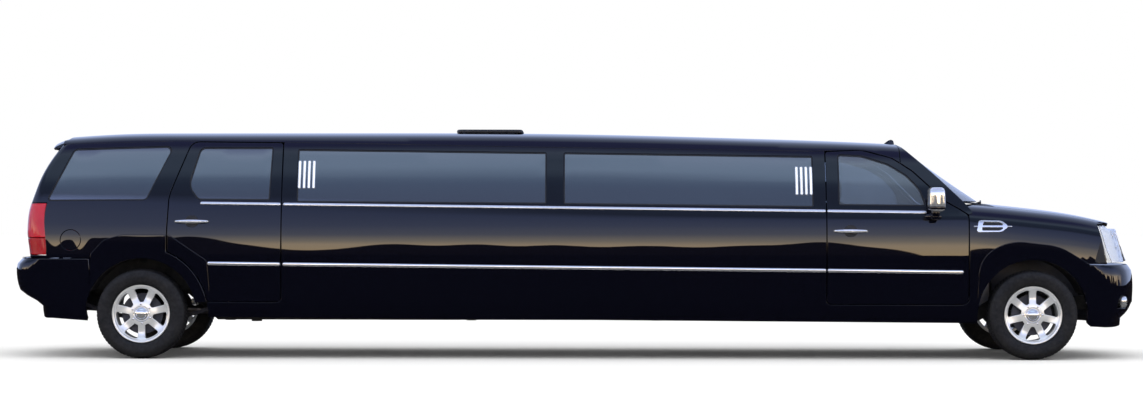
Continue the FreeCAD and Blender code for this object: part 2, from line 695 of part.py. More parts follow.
def head_lamp(skins):
    under_hood = block(3200, 5200, -HOOD_HALF, 0, 200, 1500).cut(skins.hood_room)
    return skins.front_shell(skins.head_lamp_zone, LAMP_DEPTH).cut(under_hood)


def tail_lamp(skins):
    return skins.rear_shell(skins.tail_lamp_zone)


def grille(skins):
    """Surround, frame and egg-crate bars that follow the bowed nose."""
    zone = end_plate(GRILLE_OUTLINE, 4300, 4900)
    mouth = end_plate(shrunk(GRILLE_OUTLINE, GRILLE_FRAME), 4300, 4900)
    field = end_plate([(-LAMP_INNER_Y, LAMP_BOTTOM), (-LAMP_INNER_Y, GRILLE_TOP), (LAMP_INNER_Y, GRILLE_TOP),
                       (LAMP_INNER_Y, LAMP_BOTTOM)], 4300, 4900)
    behind = moved(skins.ahead_of_nose, -GRILLE_DEPTH)
    surround = field.cut(zone).common(behind).cut(moved(skins.ahead_of_nose, -10))
    frame = zone.cut(mouth).common(behind).cut(skins.ahead_of_nose)
    bars = []
    rise = (GRILLE_TOP - GRILLE_FRAME - GRILLE_BOTTOM) / (GRILLE_ROWS + 1)
    for i in range(1, GRILLE_ROWS + 1):
        z = GRILLE_BOTTOM + GRILLE_FRAME / 2 + rise * i
        bars.append(block(4300, 4900, -LAMP_INNER_Y, LAMP_INNER_Y, z - GRILLE_BAR / 2, z + GRILLE_BAR / 2))
    pitch = 2 * GRILLE_HALF / (GRILLE_COLUMNS + 1)
    for i in range(1, GRILLE_COLUMNS + 1):
        y = -GRILLE_HALF + pitch * i
        bars.append(block(4300, 4900, y - GRILLE_BAR / 2, y + GRILLE_BAR / 2, GRILLE_BOTTOM, GRILLE_TOP))
    layer = mouth.common(behind).cut(moved(skins.ahead_of_nose, -6))
    net = layer.common(fuse(bars))
    return fuse([frame, surround, net])


# Doors


def mirror_body():
    """Door mirror on its foot, on the right side."""
    head = side_plate([(2950, 1250, 40), (2962, 1455, 50), (3068, 1440, 60), (3083, 1262, 40)], -1215, -1010)
    head = head.makeFillet(24, [e for e in head.Edges if abs(e.BoundBox.YLength) < 1])
    foot = side_plate([(2935, 1181, 12), (2950, 1225, 12), (3060, 1225, 12), (3083, 1190, 12)], -1100, -925)
    neck = block(2985, 3045, -1090, -1020, 1215, 1262)
    return head.fuse([foot, neck])


def handle(x0, x1, z):
    """Pull handle: a bar that stands clear of the skin on two posts."""
    bar = side_plate([(x0, z - 17, 16), (x0, z + 17, 16), (x1, z + 17, 16), (x1, z - 17, 16)], -1022, -1004)
    posts = [block(x, x + 34, -1006, -950, z - 12, z + 12) for x in (x0 + 14, x1 - 48)]
    return bar.fuse(posts)


def door_pins(shut_x):
    """Upright hinge pins in the shut gap, each with a leaf into the door edge."""
    x = shut_x - GAP / 2
    shapes = []
    for z in DOOR_PIN_PLACES:
        shapes.append(Part.makeCylinder(PIN_R, PIN_LONG, V(x, -PIN_Y, z), V(0, 0, 1)))
        shapes.append(block(x - GAP / 2 - 6, x, -PIN_Y - 1, -PIN_Y + 3, z, z + PIN_LONG))
    return shapes


def cross_pins(x, top, back):
    """Hinge pins along Y in the shut gap at x with leaves towards back, -1 for the tail and 1 for the nose."""
    z = top - PIN_R
    shapes = []
    for y in (-PIN_OFFSET - PIN_LONG, PIN_OFFSET):
        shapes.append(Part.makeCylinder(PIN_R, PIN_LONG, V(x, y, z), V(0, 1, 0)))
        shapes.append(block(*sorted((x, x + back * (GAP / 2 + 6))), y, y + PIN_LONG, z - 3, z + 1))
    return shapes


def front_door(skins):
    shape = fuse([door(skins, front_door_outline(), FRONT_DOOR_GLASS)] + door_pins(FRONT_DOOR_FRONT_X))
    mirror = mirror_body().cut(skins.cabin)
    grip = handle(2172, 2455, FRONT_HANDLE_Z).cut(skins.cabin)
    return shape.fuse([mirror, grip, door_strips(skins, FRONT_DOOR_REAR_X + GAP, FRONT_DOOR_FRONT_X - GAP, 2953, 3264)])


def rear_door(skins):
    shape = fuse([door(skins, rear_door_outline(), REAR_DOOR_GLASS, arch_cutter(REAR_AXLE_X))]
                 + door_pins(REAR_DOOR_FRONT_X))
    grip = handle(-3378, -3095, REAR_HANDLE_Z).cut(skins.cabin)
    return shape.fuse([grip, door_strips(skins, -3169, REAR_DOOR_FRONT_X - GAP, 5000, 5000, -3103)])


def strip_band(height, x0, x1, half):
    """Side-view band along a side line between x0 and x1."""
    return through([(x0, height(x0) - half), (x0, height(x0) + half), (x1, height(x1) + half), (x1, height(x1) - half)])


def door_strips(skins, x0, x1, belt_end, strip_end, strip_start=None):
    lower_start = x0 if strip_start is None else strip_start
    upper = skins.strip_on_cabin(strip_band(belt, x0, min(x1, belt_end), BELT_STRIP / 2))
    lower = skins.strip_on_cabin(strip_band(strip, lower_start, min(x1, strip_end), SIDE_STRIP / 2))
    return upper.fuse(lower)


# Wheels


def tyre(x, y):
    """Tyre as a solid of revolution with rounded shoulders, seated between the rim's lips."""
    half = TYRE_WIDTH / 2
    seat = RIM_R + GLASS_CLEAR
    base = V(x + seat, y - 99, 0)
    points = [V(x + seat, y - 99, 0), V(x + seat + 18, y - 100, 0), V(x + seat + 22, y - 112, 0)]
    side = Part.BSplineCurve()
    side.interpolate([points[-1], V(x + 280, y - half + 3, 0), V(x + 308, y - half, 0), V(x + 345, y - half + 7, 0),
                      V(x + 364, y - half + 18, 0), V(x + TYRE_R - 3, y - half + 34, 0), V(x + TYRE_R, y - 60, 0),
                      V(x + TYRE_R, y, 0), V(x + TYRE_R, y + 60, 0), V(x + TYRE_R - 3, y + half - 34, 0),
                      V(x + 364, y + half - 18, 0), V(x + 345, y + half - 7, 0), V(x + 308, y + half, 0),
                      V(x + 280, y + half - 3, 0), V(x + seat + 22, y + 112, 0)])
    rest = [side.toShape(), Part.makeLine(V(x + seat + 22, y + 112, 0), V(x + seat + 18, y + 100, 0)),
            Part.makeLine(V(x + seat + 18, y + 100, 0), V(x + seat, y + 99, 0)),
            Part.makeLine(V(x + seat, y + 99, 0), base),
            Part.makeLine(points[0], points[1]), Part.makeLine(points[1], points[2])]
    face = Part.Face(Part.Wire(Part.__sortEdges__(rest)))
    return face.revolve(V(x, 0, 0), V(0, 1, 0), 360).translated(V(0, 0, TYRE_R))


def rim(x, side):
    """Wheel with a barrel, straight spokes, hub and cap, and the brake disc behind it; side is -1 on the right."""
    y = side * WHEEL_Y
    out = side
    lip = RIM_WIDTH / 2
    barrel = [(RIM_R, -100), (RIM_R + 14, -101), (RIM_LIP_R, -lip), (RIM_R - 4, -lip), (RIM_R - 12, -96),
              (RIM_R - 14, 60), (RIM_R - 18, 92), (RIM_R - 6, lip), (RIM_LIP_R, lip), (RIM_R + 14, 101), (RIM_R, 100)]
    shape = spin_y([(r, y + out * w) for r, w in barrel], x, TYRE_R)
    hub = [(BORE_R, 8), (HUB_R + 22, 8), (HUB_R + 14, 60), (HUB_R - 6, 76), (62, 80), (56, 72), (BORE_R, 72)]
    hub_solid = spin_y([(r, y + out * w) for r, w in hub], x, TYRE_R)
    cap = [(0.01, 66), (BORE_R, 66), (58, 73), (54, 86), (0.01, 92)]
    cap_solid = spin_y([(r, y + out * w) for r, w in cap], x, TYRE_R)
    spokes = []
    for i in range(SPOKES):
        bar = Part.makeBox(SPOKE_WIDTH, 40, RIM_R - 12 - 84, V(-SPOKE_WIDTH / 2, -20, 84))
        bar = bar.makeFillet(7, [e for e in bar.Edges if abs(e.BoundBox.ZLength) > 100])
        bar = bar.rotate(V(0, 0, 0), V(0, 1, 0), 360.0 * i / SPOKES)
        spokes.append(bar.translated(V(x, y + out * 58, TYRE_R)))
    disc = [(BORE_R, -40), (HUB_R - 10, -40), (HUB_R - 10, -12), (DISC_R, -12), (DISC_R, -12 + DISC_THICK),
            (BORE_R, -12 + DISC_THICK)]
    disc_solid = spin_y([(r, y + out * w) for r, w in disc], x, TYRE_R)
    return fuse([shape, hub_solid, cap_solid, disc_solid] + spokes)


def knuckle(side):
    """Steering knuckle: king pin post and wheel spindle."""
    x = FRONT_AXLE_X
    post = rod(V(x, side * KINGPIN_Y, KNUCKLE_Z0), V(x, side * KINGPIN_Y, KNUCKLE_Z1), KNUCKLE_R)
    reach = sorted((side * KINGPIN_Y, side * (WHEEL_Y + SPINDLE_END)))
    spindle = cross_cylinder(x, TYRE_R, BORE_R - SPINDLE_CLEAR, *reach)
    return post.fuse(spindle)


# Underbody


def chassis_frame():
    """Ladder frame with rails kicked up over both axles, cross members, body mounts and jack pads."""
    line = [(-4600, 560), (-4150, 590), (-3330, 590), (-3080, FRAME_MID_Z), (FIREWALL_X + 34, FRAME_MID_Z),
            (3640, 470), (4640, 470)]
    half = (FRAME_Z1 - FRAME_Z0) / 2
    points = [(x, z + half) for x, z in line] + [(x, z - half) for x, z in reversed(line)]
    rails = []
    for side in (-1, 1):
        edge = sorted((side * (FRAME_Y - FRAME_RAIL_W / 2), side * (FRAME_Y + FRAME_RAIL_W / 2)))
        rails.append(side_plate(points, *edge))
        for x in MOUNT_PLACES:
            rails.append(Part.makeCylinder(42, FLOOR_Z - FRAME_Z1, V(x, side * FRAME_Y, FRAME_Z1)))
        for x in JACK_PLACES:
            rails.append(Part.makeCylinder(JACK_PAD_R, JACK_PAD_H, V(x, side * FRAME_Y, FRAME_Z0 - JACK_PAD_H)))
    for x in CROSS_PLACES:
        rails.append(block(x - 40, x + 40, -FRAME_Y, FRAME_Y, FRAME_Z0 - 6, FRAME_Z0 + 20))
    rails.append(block(4560, 4640, -FRAME_Y, FRAME_Y, 440, 500))
    rails.append(block(3790, 3920, -FRAME_Y, FRAME_Y, 395, 425))
    rails.append(block(-4600, -4540, -FRAME_Y, FRAME_Y, 530, 590))
    bends = [x for x, _ in line[2:6]]
    return Part.makeCompound(parted(fuse(rails), bends))


def floor_pan(skins):
    """Floor with its step over the rear axle, and the wheel housings."""
    line = [(FIREWALL_X + 24, FLOOR_Z), (FLOOR_STEP_X, FLOOR_Z), (FLOOR_STEP_X - 90, CARGO_Z), (-4620, CARGO_Z)]
    points = line + [(x, z + FLOOR_THICK) for x, z in reversed(line)]
    pan = side_plate(points, -FAR, FAR).common(skins.room)
    for side in (-1, 1):
        edge = sorted((side * HOUSING_IN_Y, side * FAR))
        pan = pan.cut(cross_cylinder(REAR_AXLE_X, TYRE_R, ARCH_R + LINER_THICK, *edge))
        front_edge = sorted((side * HOUSING_FRONT_Y, side * FAR))
        pan = pan.cut(cross_cylinder(FRONT_AXLE_X, TYRE_R, ARCH_R + LINER_THICK, *front_edge))
    pieces = [pan]
    for axle_x, front in ((REAR_AXLE_X, False), (FRONT_AXLE_X, True)):
        for side in (-1, 1):
            pieces.append(housing(axle_x, side, front).common(skins.front_room if front else skins.room))
    whole = fuse(pieces)
    solids = []
    for solid in parted(whole, (FLOOR_STEP_X - 90, FLOOR_STEP_X)):
        behind = solid.CenterOfMass.x < FLOOR_STEP_X - 90
        solids += parted(solid, (-HOUSING_IN_Y, HOUSING_IN_Y), across=True) if behind else [solid]
    return Part.makeCompound(solids)


def housing(axle_x, side, open_inside):
    """Arched wheel housing, closed at its inner side over the rear wheels."""
    inner = HOUSING_FRONT_Y if open_inside else HOUSING_IN_Y
    edge = sorted((side * inner, side * HOUSING_OUT_Y))
    shell = cross_cylinder(axle_x, TYRE_R, ARCH_R + LINER_THICK, *edge)
    shell = shell.cut(cross_cylinder(axle_x, TYRE_R, ARCH_R, *edge))
    if not open_inside:
        inner_edge = sorted((side * inner, side * (inner + LINER_THICK)))
        shell = shell.fuse(cross_cylinder(axle_x, TYRE_R, ARCH_R + LINER_THICK, *inner_edge))
    low = CARGO_Z - 90 if not open_inside else 560
    return shell.common(block(axle_x - 700, axle_x + 700, -FAR, FAR, low, 1500))


def rear_axle():
    """Rear axle tube with its differential, spindles and leaf springs."""
    shapes = [cross_cylinder(REAR_AXLE_X, TYRE_R, AXLE_TUBE_R, -AXLE_TUBE_END, AXLE_TUBE_END),
              cross_cylinder(REAR_AXLE_X, TYRE_R, BORE_R - SPINDLE_CLEAR, -WHEEL_Y - SPINDLE_END, WHEEL_Y + SPINDLE_END),
              Part.makeSphere(150, V(REAR_AXLE_X, 0, TYRE_R)),
              tube_x(REAR_AXLE_X, REAR_AXLE_X + 220, 0, TYRE_R, 62)]
    for side in (-1, 1):
        edge = sorted((side * SPRING_Y0, side * SPRING_Y1))
        top = [V(-4290, edge[0], 505), V(REAR_AXLE_X, edge[0], TYRE_R - AXLE_TUBE_R + 4), V(-3110, edge[0], 440)]
        arc = Part.Arc(*top).toShape()
        low = Part.Arc(*[p - V(0, 0, 34) for p in top]).toShape()
        face = Part.Face(Part.Wire([arc, Part.makeLine(top[2], top[2] - V(0, 0, 34)), low,
                                    Part.makeLine(top[0] - V(0, 0, 34), top[0])]))
        shapes.append(face.extrude(V(0, edge[1] - edge[0], 0)))
        hanger = sorted((side * (FRAME_Y + FRAME_RAIL_W / 2), side * SPRING_Y1))
        shapes.append(side_plate([(-4320, 470), (-4320, 560), (-4260, 560), (-4240, 470)], *hanger))
        shapes.append(side_plate([(-3150, 400), (-3150, 470), (-3095, 440), (-3095, 400)], *hanger))
    return fuse(shapes)


def front_suspension():
    """Control arms from the frame to the knuckles, with ball joints."""
    shapes = []
    x = FRONT_AXLE_X
    for side in (-1, 1):
        lower = [(x - 150, side * 320), (x - 30, side * (KINGPIN_Y + 24)), (x + 30, side * (KINGPIN_Y + 24)),
                 (x + 150, side * 320)]
        z = KNUCKLE_Z0 - SEAT_CLEAR
        shapes.append(plan_plate(lower, z - 30, z))
        shapes.append(block(x - 130, x + 130, *sorted((side * 320, side * 400)), z - 2, 395))
        upper = [(x - 120, side * 450), (x - 26, side * (KINGPIN_Y + 22)), (x + 26, side * (KINGPIN_Y + 22)),
                 (x + 120, side * 450)]
        z = KNUCKLE_Z1 + SEAT_CLEAR
        shapes.append(plan_plate(upper, z, z + 26))
        shapes.append(block(x - 110, x + 110, *sorted((side * 400, side * 470)), 529, z + 4))
    return Part.makeCompound(shapes)


def driveline():
    """Gearbox, three shafts with their centre bearings, down the middle of the frame."""
    shapes = [block(2880, ENGINE_X0, -150, 150, 334, FLOOR_Z - 8), block(2700, 2880, -90, 90, 334, FLOOR_Z - 8),
              block(FIREWALL_X + 34, ENGINE_X0, -220, 220, 334, 700)]
    shapes.append(tube_x(REAR_AXLE_X + 220, 2700, 0, SHAFT_Z, SHAFT_R))
    for x in BEARING_PLACES:
        shapes.append(block(x - 45, x + 45, -100, 100, FRAME_Z0 + 20, SHAFT_Z + SHAFT_R + 8))
    return fuse(shapes)


def engine():
    return block(ENGINE_X0, ENGINE_X1, -ENGINE_HALF_Y, ENGINE_HALF_Y, 425, 1030)


def fuel_tank():
    tank = block(-2900, -1900, 70, FRAME_Y - FRAME_RAIL_W / 2, 300, FLOOR_Z - 8)
    return tank.makeFillet(40, [e for e in tank.Edges if e.BoundBox.XLength > 500])


def exhaust():
    """Pipe along the right rail with a silencer, over the rear axle to the tail."""
    y = -EXHAUST_Y
    route = [V(3300, y, 372), V(-3020, y, 372), V(-3300, y, 560), V(-4200, y, 560), V(-4480, y, 480)]
    shapes = [rod(a, b, EXHAUST_R) for a, b in zip(route, route[1:])]
    shapes += [Part.makeSphere(EXHAUST_R, p) for p in route[1:-1]]
    shapes.append(tube_x(-1700, -1000, y, 372, 70))
    return fuse(shapes)


# Inside


def dashboard():
    """Dashboard with the steering column and wheel on the left."""
    profile = [(3125, 1010, 40), (3105, 1150, 40), (3190, 1222, 40), (FIREWALL_X - SEAT_CLEAR, 1212),
               (FIREWALL_X - SEAT_CLEAR, 740), (3260, 740, 40)]
    panel = side_plate(profile, -DASH_HALF_Y, DASH_HALF_Y)
    wheel = Part.makeTorus(186, 15, V(0, 0, 0), V(0, 0, 1))
    column = Part.makeCylinder(28, 330, V(0, 0, 0), V(0, 0, 1))
    boss = Part.makeCylinder(66, 40, V(0, 0, -12), V(0, 0, 1))
    bar = Part.makeBox(372, 44, 20, V(-186, -22, -10))
    helm = fuse([wheel, column, boss, bar])
    helm = helm.rotate(V(0, 0, 0), V(0, 1, 0), 114).translated(V(2880, DRIVER_Y, 1130))
    return panel.fuse(helm)


def soft_block(x0, x1, y0, y1, z0, z1, radius):
    shape = block(x0, x1, y0, y1, z0, z1)
    return shape.makeFillet(radius, shape.Edges)


def seats():
    """Two front seats, the rear bench and the long side bench."""
    foot = FLOOR_Z + FLOOR_THICK
    shapes = []
    for y in (-DRIVER_Y, DRIVER_Y):
        shapes.append(fuse([block(2330, 2760, y - 200, y + 200, foot, 660),
                            soft_block(2280, 2830, y - 265, y + 265, 640, 800, 40),
                            soft_block(2180, 2330, y - 250, y + 250, 700, 1340, 50),
                            soft_block(2190, 2290, y - 140, y + 140, 1330, 1520, 40)]))
    shapes.append(fuse([block(-2960, -2440, -700, 700, foot, 780), soft_block(-3020, -2420, -740, 740, 770, 900, 40),
                        soft_block(-3060, -2900, -740, 740, 780, 1330, 50)]))
    shapes.append(fuse([block(-1950, 1480, 360, 800, foot, 780), soft_block(-2000, 1520, 330, 800, 770, 900, 40),
                        soft_block(-2000, 1520, 690, 850, 800, 1290, 40)]))
    return Part.makeCompound(shapes)


# Trim


def light_bars(skins, x0, z0, z1):
    """Four upright bars on the glass."""
    bars = [through([(x, z0), (x, z1), (x + 25, z1), (x + 25, z0)]) for x in (x0 + 40 * i for i in range(4))]
    return [skins.cabin_trim.common(bar).cut(skins.glass_out) for bar in bars]


def bright_trim(skins):
    """Side strips of the long panel, the light bars and the fender vents."""
    shapes = [door_strips(skins, REAR_DOOR_FRONT_X + STRIP_CLEAR, FRONT_DOOR_REAR_X, 5000, 5000)]
    shapes += light_bars(skins, -2350, 1438, 1674)
    shapes += light_bars(skins, 1854, 1391, 1630)
    vent = through([(3358, 1080), (3390, 1174, 20), (3560, 1168), (3658, 1128), (3560, 1076)])
    hole = through([(3420, 1092), (3440, 1158, 10), (3552, 1154), (3622, 1126), (3552, 1092)])
    bar = through([(3425, 1118), (3425, 1130), (3615, 1128), (3610, 1118)])
    shapes.append(skins.front_trim.common(vent.cut(hole).fuse(bar)).cut(skins.front))
    return pair(Part.makeCompound(shapes))


def wipers(skins):
    """Two wiper arms parked across the foot of the windscreen."""
    shapes = []
    for y in (-560, 120):
        start = V(wiper_x(y) + 26, y, 1322)
        stop = V(wiper_x(y + 520) + 18, y + 520, 1345)
        shapes.append(rod(start, stop, 7))
        shapes.append(Part.makeCylinder(13, 70, start - V(0, 0, 56), V(0, 0, 1)))
    return fuse(shapes).cut(skins.front).cut(block(COWL_X - GAP / 2, 5000, -FAR, FAR, 1100, 1500))


def wiper_x(y):
    return table(SCREEN_LINE, 1322) - 230 * (y / 870) ** 2


def roof_hatch(skins):
    """Raised sliding-roof lid over its opening."""
    low = HATCH_TOP - HATCH_DEEP
    base = outline(rounded_box(HATCH_X0, HATCH_X1, HATCH_HALF_Y, 70), lambda p: V(p.x, p.y, low))
    top = outline(rounded_box(HATCH_X0 + 34, HATCH_X1 - 34, HATCH_HALF_Y - 30, 50), lambda p: V(p.x, p.y, HATCH_TOP))
    lid = Part.makeLoft([base, top], True, True)
    pins = [cross_cylinder(HATCH_X1, low, HATCH_PIN_R, *edge) for edge in HATCH_PIN_PLACES]
    return fuse([lid] + pins)


# The whole assembly


def save(name, shape):
    solids = shape.Solids
    if not solids or not shape.isValid():
        print("bad shape", name, len(solids), shape.isValid())
    body = solids[0] if len(solids) == 1 else Part.makeCompound(solids)
    body.exportStep(os.path.join(OUT, name + ".step"))


def build():
    os.makedirs(OUT, exist_ok=True)
    skins = Skins()
    save("chassis_frame", chassis_frame())
    save("floor_pan", floor_pan(skins))
    save("stretch_panels", pair(stretch_side(skins)))
    save("quarter_panels", pair(quarter_side(skins)))
    save("front_fenders", pair(fender_side(skins)))
    save("roof_panel", roof_panel(skins))
    save("windscreen_frame", windscreen_frame(skins))
    save("windscreen", windscreen(skins))
    save("side_glass", pair(Part.makeCompound([pane(skins, g) for g in
                                               (STRETCH_GLASS_REAR, STRETCH_GLASS_FRONT, QUARTER_GLASS)])))
    save("front_bumper", front_bumper(skins))
    save("rear_bumper", rear_bumper(skins))
    save("grille", grille(skins))
    save("front_lamps", pair(head_lamp(skins)))
    save("tail_lamps", pair(tail_lamp(skins)))
    save("engine", engine())
    save("driveline", driveline())
    save("rear_axle", rear_axle())
    save("front_suspension", front_suspension())
    save("fuel_tank", fuel_tank())
    save("exhaust", exhaust())
    save("dashboard", dashboard())
    save("seats", seats())
    save("bright_trim", bright_trim(skins))
    save("wipers", wipers(skins))
    save("hood", hood(skins))
    save("tailgate", tailgate(skins))
    save("tailgate_glass", tailgate_glass(skins))
    save("roof_hatch", roof_hatch(skins))
    front = front_door(skins)
    rear = rear_door(skins)
    front_pane = pane(skins, FRONT_DOOR_GLASS)
    rear_pane = pane(skins, REAR_DOOR_GLASS)
    for name, shape in (("front_door", front), ("rear_door", rear), ("front_door_glass", front_pane),
                        ("rear_door_glass", rear_pane)):
        save(name + "_right", shape)
        save(name + "_left", mirrored(shape))
    for place, x in (("front", FRONT_AXLE_X), ("rear", REAR_AXLE_X)):
        for name, side in (("right", -1), ("left", 1)):
            save("tyre_" + place + "_" + name, tyre(x, side * WHEEL_Y))
            save("rim_" + place + "_" + name, rim(x, side))
    for name, side in (("right", -1), ("left", 1)):
        save("knuckle_" + name, knuckle(side))


build()
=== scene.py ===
"""Stretch limousine: panels, glass, lamps, wheels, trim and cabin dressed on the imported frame."""

import logging
import math
from dataclasses import dataclass
from enum import Enum
from typing import Callable, Optional, Sequence

import bpy
import numpy as np
from mathutils.geometry import delaunay_2d_cdt
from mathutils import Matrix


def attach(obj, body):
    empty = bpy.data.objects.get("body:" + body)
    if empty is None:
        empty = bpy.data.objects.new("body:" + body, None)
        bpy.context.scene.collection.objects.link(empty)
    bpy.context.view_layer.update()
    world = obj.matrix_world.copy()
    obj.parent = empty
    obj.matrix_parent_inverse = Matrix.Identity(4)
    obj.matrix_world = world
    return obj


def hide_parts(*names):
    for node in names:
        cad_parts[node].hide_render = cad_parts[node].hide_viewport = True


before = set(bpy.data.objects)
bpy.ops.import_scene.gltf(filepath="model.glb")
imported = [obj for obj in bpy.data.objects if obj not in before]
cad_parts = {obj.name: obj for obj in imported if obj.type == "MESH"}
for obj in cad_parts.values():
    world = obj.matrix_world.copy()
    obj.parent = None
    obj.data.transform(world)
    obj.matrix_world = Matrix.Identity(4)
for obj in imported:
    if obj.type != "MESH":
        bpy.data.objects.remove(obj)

LOG = logging.getLogger("limousine")
Array = np.ndarray
MM = 0.001
TINY = 1e-9

ROOF_LINE = ((-4900, 1838), (-4400, 1886), (-3900, 1916), (-3300, 1925), (-1650, 1928), (-50, 1922),
             (1050, 1900), (2050, 1869), (2640, 1845), (3700, 1770))
WIDTH_LINE = ((-4900, 885), (-4600, 934), (-4300, 965), (-3900, 980), (-3400, 985), (3400, 985), (3900, 982),
              (4300, 962), (4600, 915), (4900, 850))
SILL_LINE = ((-4900, 328), (-4060, 332), (-2876, 348), (3238, 308), (4250, 302), (4354, 272), (4900, 264))
RAIL_LINE = ((-4800, 1788), (-4300, 1814), (-3400, 1840), (-2500, 1832), (-250, 1790), (2005, 1763),
             (2420, 1777), (2760, 1752))
HOOD_LINE = ((3200, 1350), (3600, 1318), (3870, 1291), (4200, 1250), (4450, 1203), (4650, 1152),
             (4900, 1075))
NOSE_LINE = ((250, 4800), (829, 4794), (1006, 4745), (1110, 4705), (1150, 4650), (1200, 4560), (1400, 4200))
FRONT_BUMPER_LINE = ((240, 4740), (330, 4752), (400, 4822), (470, 4851), (600, 4857.5), (700, 4853),
                     (760, 4838), (815, 4794), (900, 4720))
TAIL_LINE = ((300, -4700), (888, -4710), (985, -4727), (1083, -4732), (1212, -4726), (1310, -4700),
             (1374, -4676), (1522, -4619), (1653, -4547), (1776, -4457), (1850, -4396), (1990, -4260))
REAR_BUMPER_LINE = ((300, -4612), (460, -4636), (510, -4755), (580, -4832), (674, -4853), (755, -4857.5),
                    (800, -4846), (850, -4790), (950, -4700))
SCREEN_LINE = ((1260, 3622), (1335, 3512), (1439, 3350), (1545, 3187), (1650, 3025), (1747, 2879),
               (1830, 2760))
CABIN_STATIONS = (-4900, -4600, -4300, -3900, -3400, -2000, 0, 1500, 2600, 3700)
FRONT_STATIONS = (3200, 3600, 3900, 4200, 4450, 4650, 4900)
HALF_WIDTH = 985.0
FRONT_AXLE_X = 3854.5
REAR_AXLE_X = -3664.5
AXLE_Z = 378.0
WHEEL_Y = 857.0
ARCH_R = 468.0
ARCH_TO_DOOR = 96.0
DOOR_REACH = ARCH_R + ARCH_TO_DOOR
FRONT_DOOR_X0 = 2109.0
FRONT_DOOR_X1 = 3315.0
FRONT_DOOR_LOW = 462.0
FRONT_DOOR_TOP = 1763.8
FENDER_LOW = 308.0
SKIRT_LOW = 348.0
REAR_DOOR_LOW = 475.0
REAR_DOOR_FRONT_X = -2480.0
REAR_DOOR_BACK_X = -3450.0
REAR_DOOR_FRONT_TOP = 1831.6
GAP = 8.0
SLOPE_STEP = 1e-3
BELT_HALF = 12.0
STRIP_HALF = 15.0
TRIM_PROUD = 5.0
SCREEN_SUNK = 2.0
STEERING_LEAN = math.radians(114)
BUMPER_TOP_REAR = 845.0
COWL_X = 3560.0
HOOD_HALF = 742.0
HATCH_X0 = -1037.0
HATCH_X1 = -460.0
HATCH_HALF_Y = 290.0
HATCH_LIP = 26.0
HATCH_TOP = 1958.0

FRONT_DOOR = ((FRONT_DOOR_X0, FRONT_DOOR_LOW, 40), (FRONT_DOOR_X0, FRONT_DOOR_TOP, 30), (2420, 1777, 150),
              (2680, 1710, 200), (2850, 1598, 200), (2985, 1470, 200), (3110, 1345, 120), (3220, 1285, 60),
              (FRONT_DOOR_X1, 1225, 60), (FRONT_DOOR_X1, FRONT_DOOR_LOW, 60))
REAR_DOOR_FOOT = (REAR_DOOR_FRONT_X, REAR_DOOR_LOW, 40)
REAR_DOOR_TOP = ((REAR_DOOR_BACK_X, 1100, 200), (-3437, 1375, 300), (-3262, 1838.8, 90),
                 (REAR_DOOR_FRONT_X, REAR_DOOR_FRONT_TOP, 30))
FRONT_DOOR_GLASS = ((2217, 1303, 18), (2217, 1737, 30), (2420, 1727, 120), (2642, 1656, 200),
                    (2796, 1561, 200), (2901, 1450, 200), (2957, 1298, 18))
REAR_DOOR_GLASS = ((-2583, 1337, 20), (-3190, 1340, 60), (-3273, 1457, 120), (-3184, 1786, 60),
                   (-2567, 1787, 20))
STRETCH_GLASS_REAR = ((-2357, 1323, 16), (-2357, 1771, 16), (-250, 1747, 16), (-250, 1311, 16))
STRETCH_GLASS_FRONT = ((-105, 1309, 16), (-105, 1746, 16), (2005, 1720, 16), (2005, 1287, 16))
QUARTER_GLASS = ((-4261, 1772, 60), (-3408, 1798, 40), (-3624, 1335, 50), (-4469, 1329, 20))
TAILGATE_GLASS = ((-640, 1375, 60), (-575, 1755, 60), (575, 1755, 60), (640, 1375, 60))


class Side(Enum):
    """Which side of the car a piece is on."""

    RIGHT = -1
    LEFT = 1

    @property
    def word(self) -> str:
        """The side's word in names of bodies and nodes."""
        return "right" if self is Side.RIGHT else "left"


def table(line: Sequence, at: Array | float) -> Array:
    """Value of a table of (place, value) pairs, straight between its entries.

    Args:
        line: pairs in rising order of place.
        at: places to read.

    Returns:
        The values at those places.
    """
    pairs = np.asarray(line, float)
    return np.interp(at, pairs[:, 0], pairs[:, 1])


def belt(x: Array | float) -> Array | float:
    """Height of the belt line at x."""
    return 1277.0 - 0.0109 * x


def strip(x: Array | float) -> Array | float:
    """Height of the lower side strip at x."""
    return 773.0 - 0.0099 * x


def unit(vectors: Array) -> Array:
    """The vectors at length one."""
    return vectors / np.maximum(np.linalg.norm(vectors, axis=-1, keepdims=True), TINY)


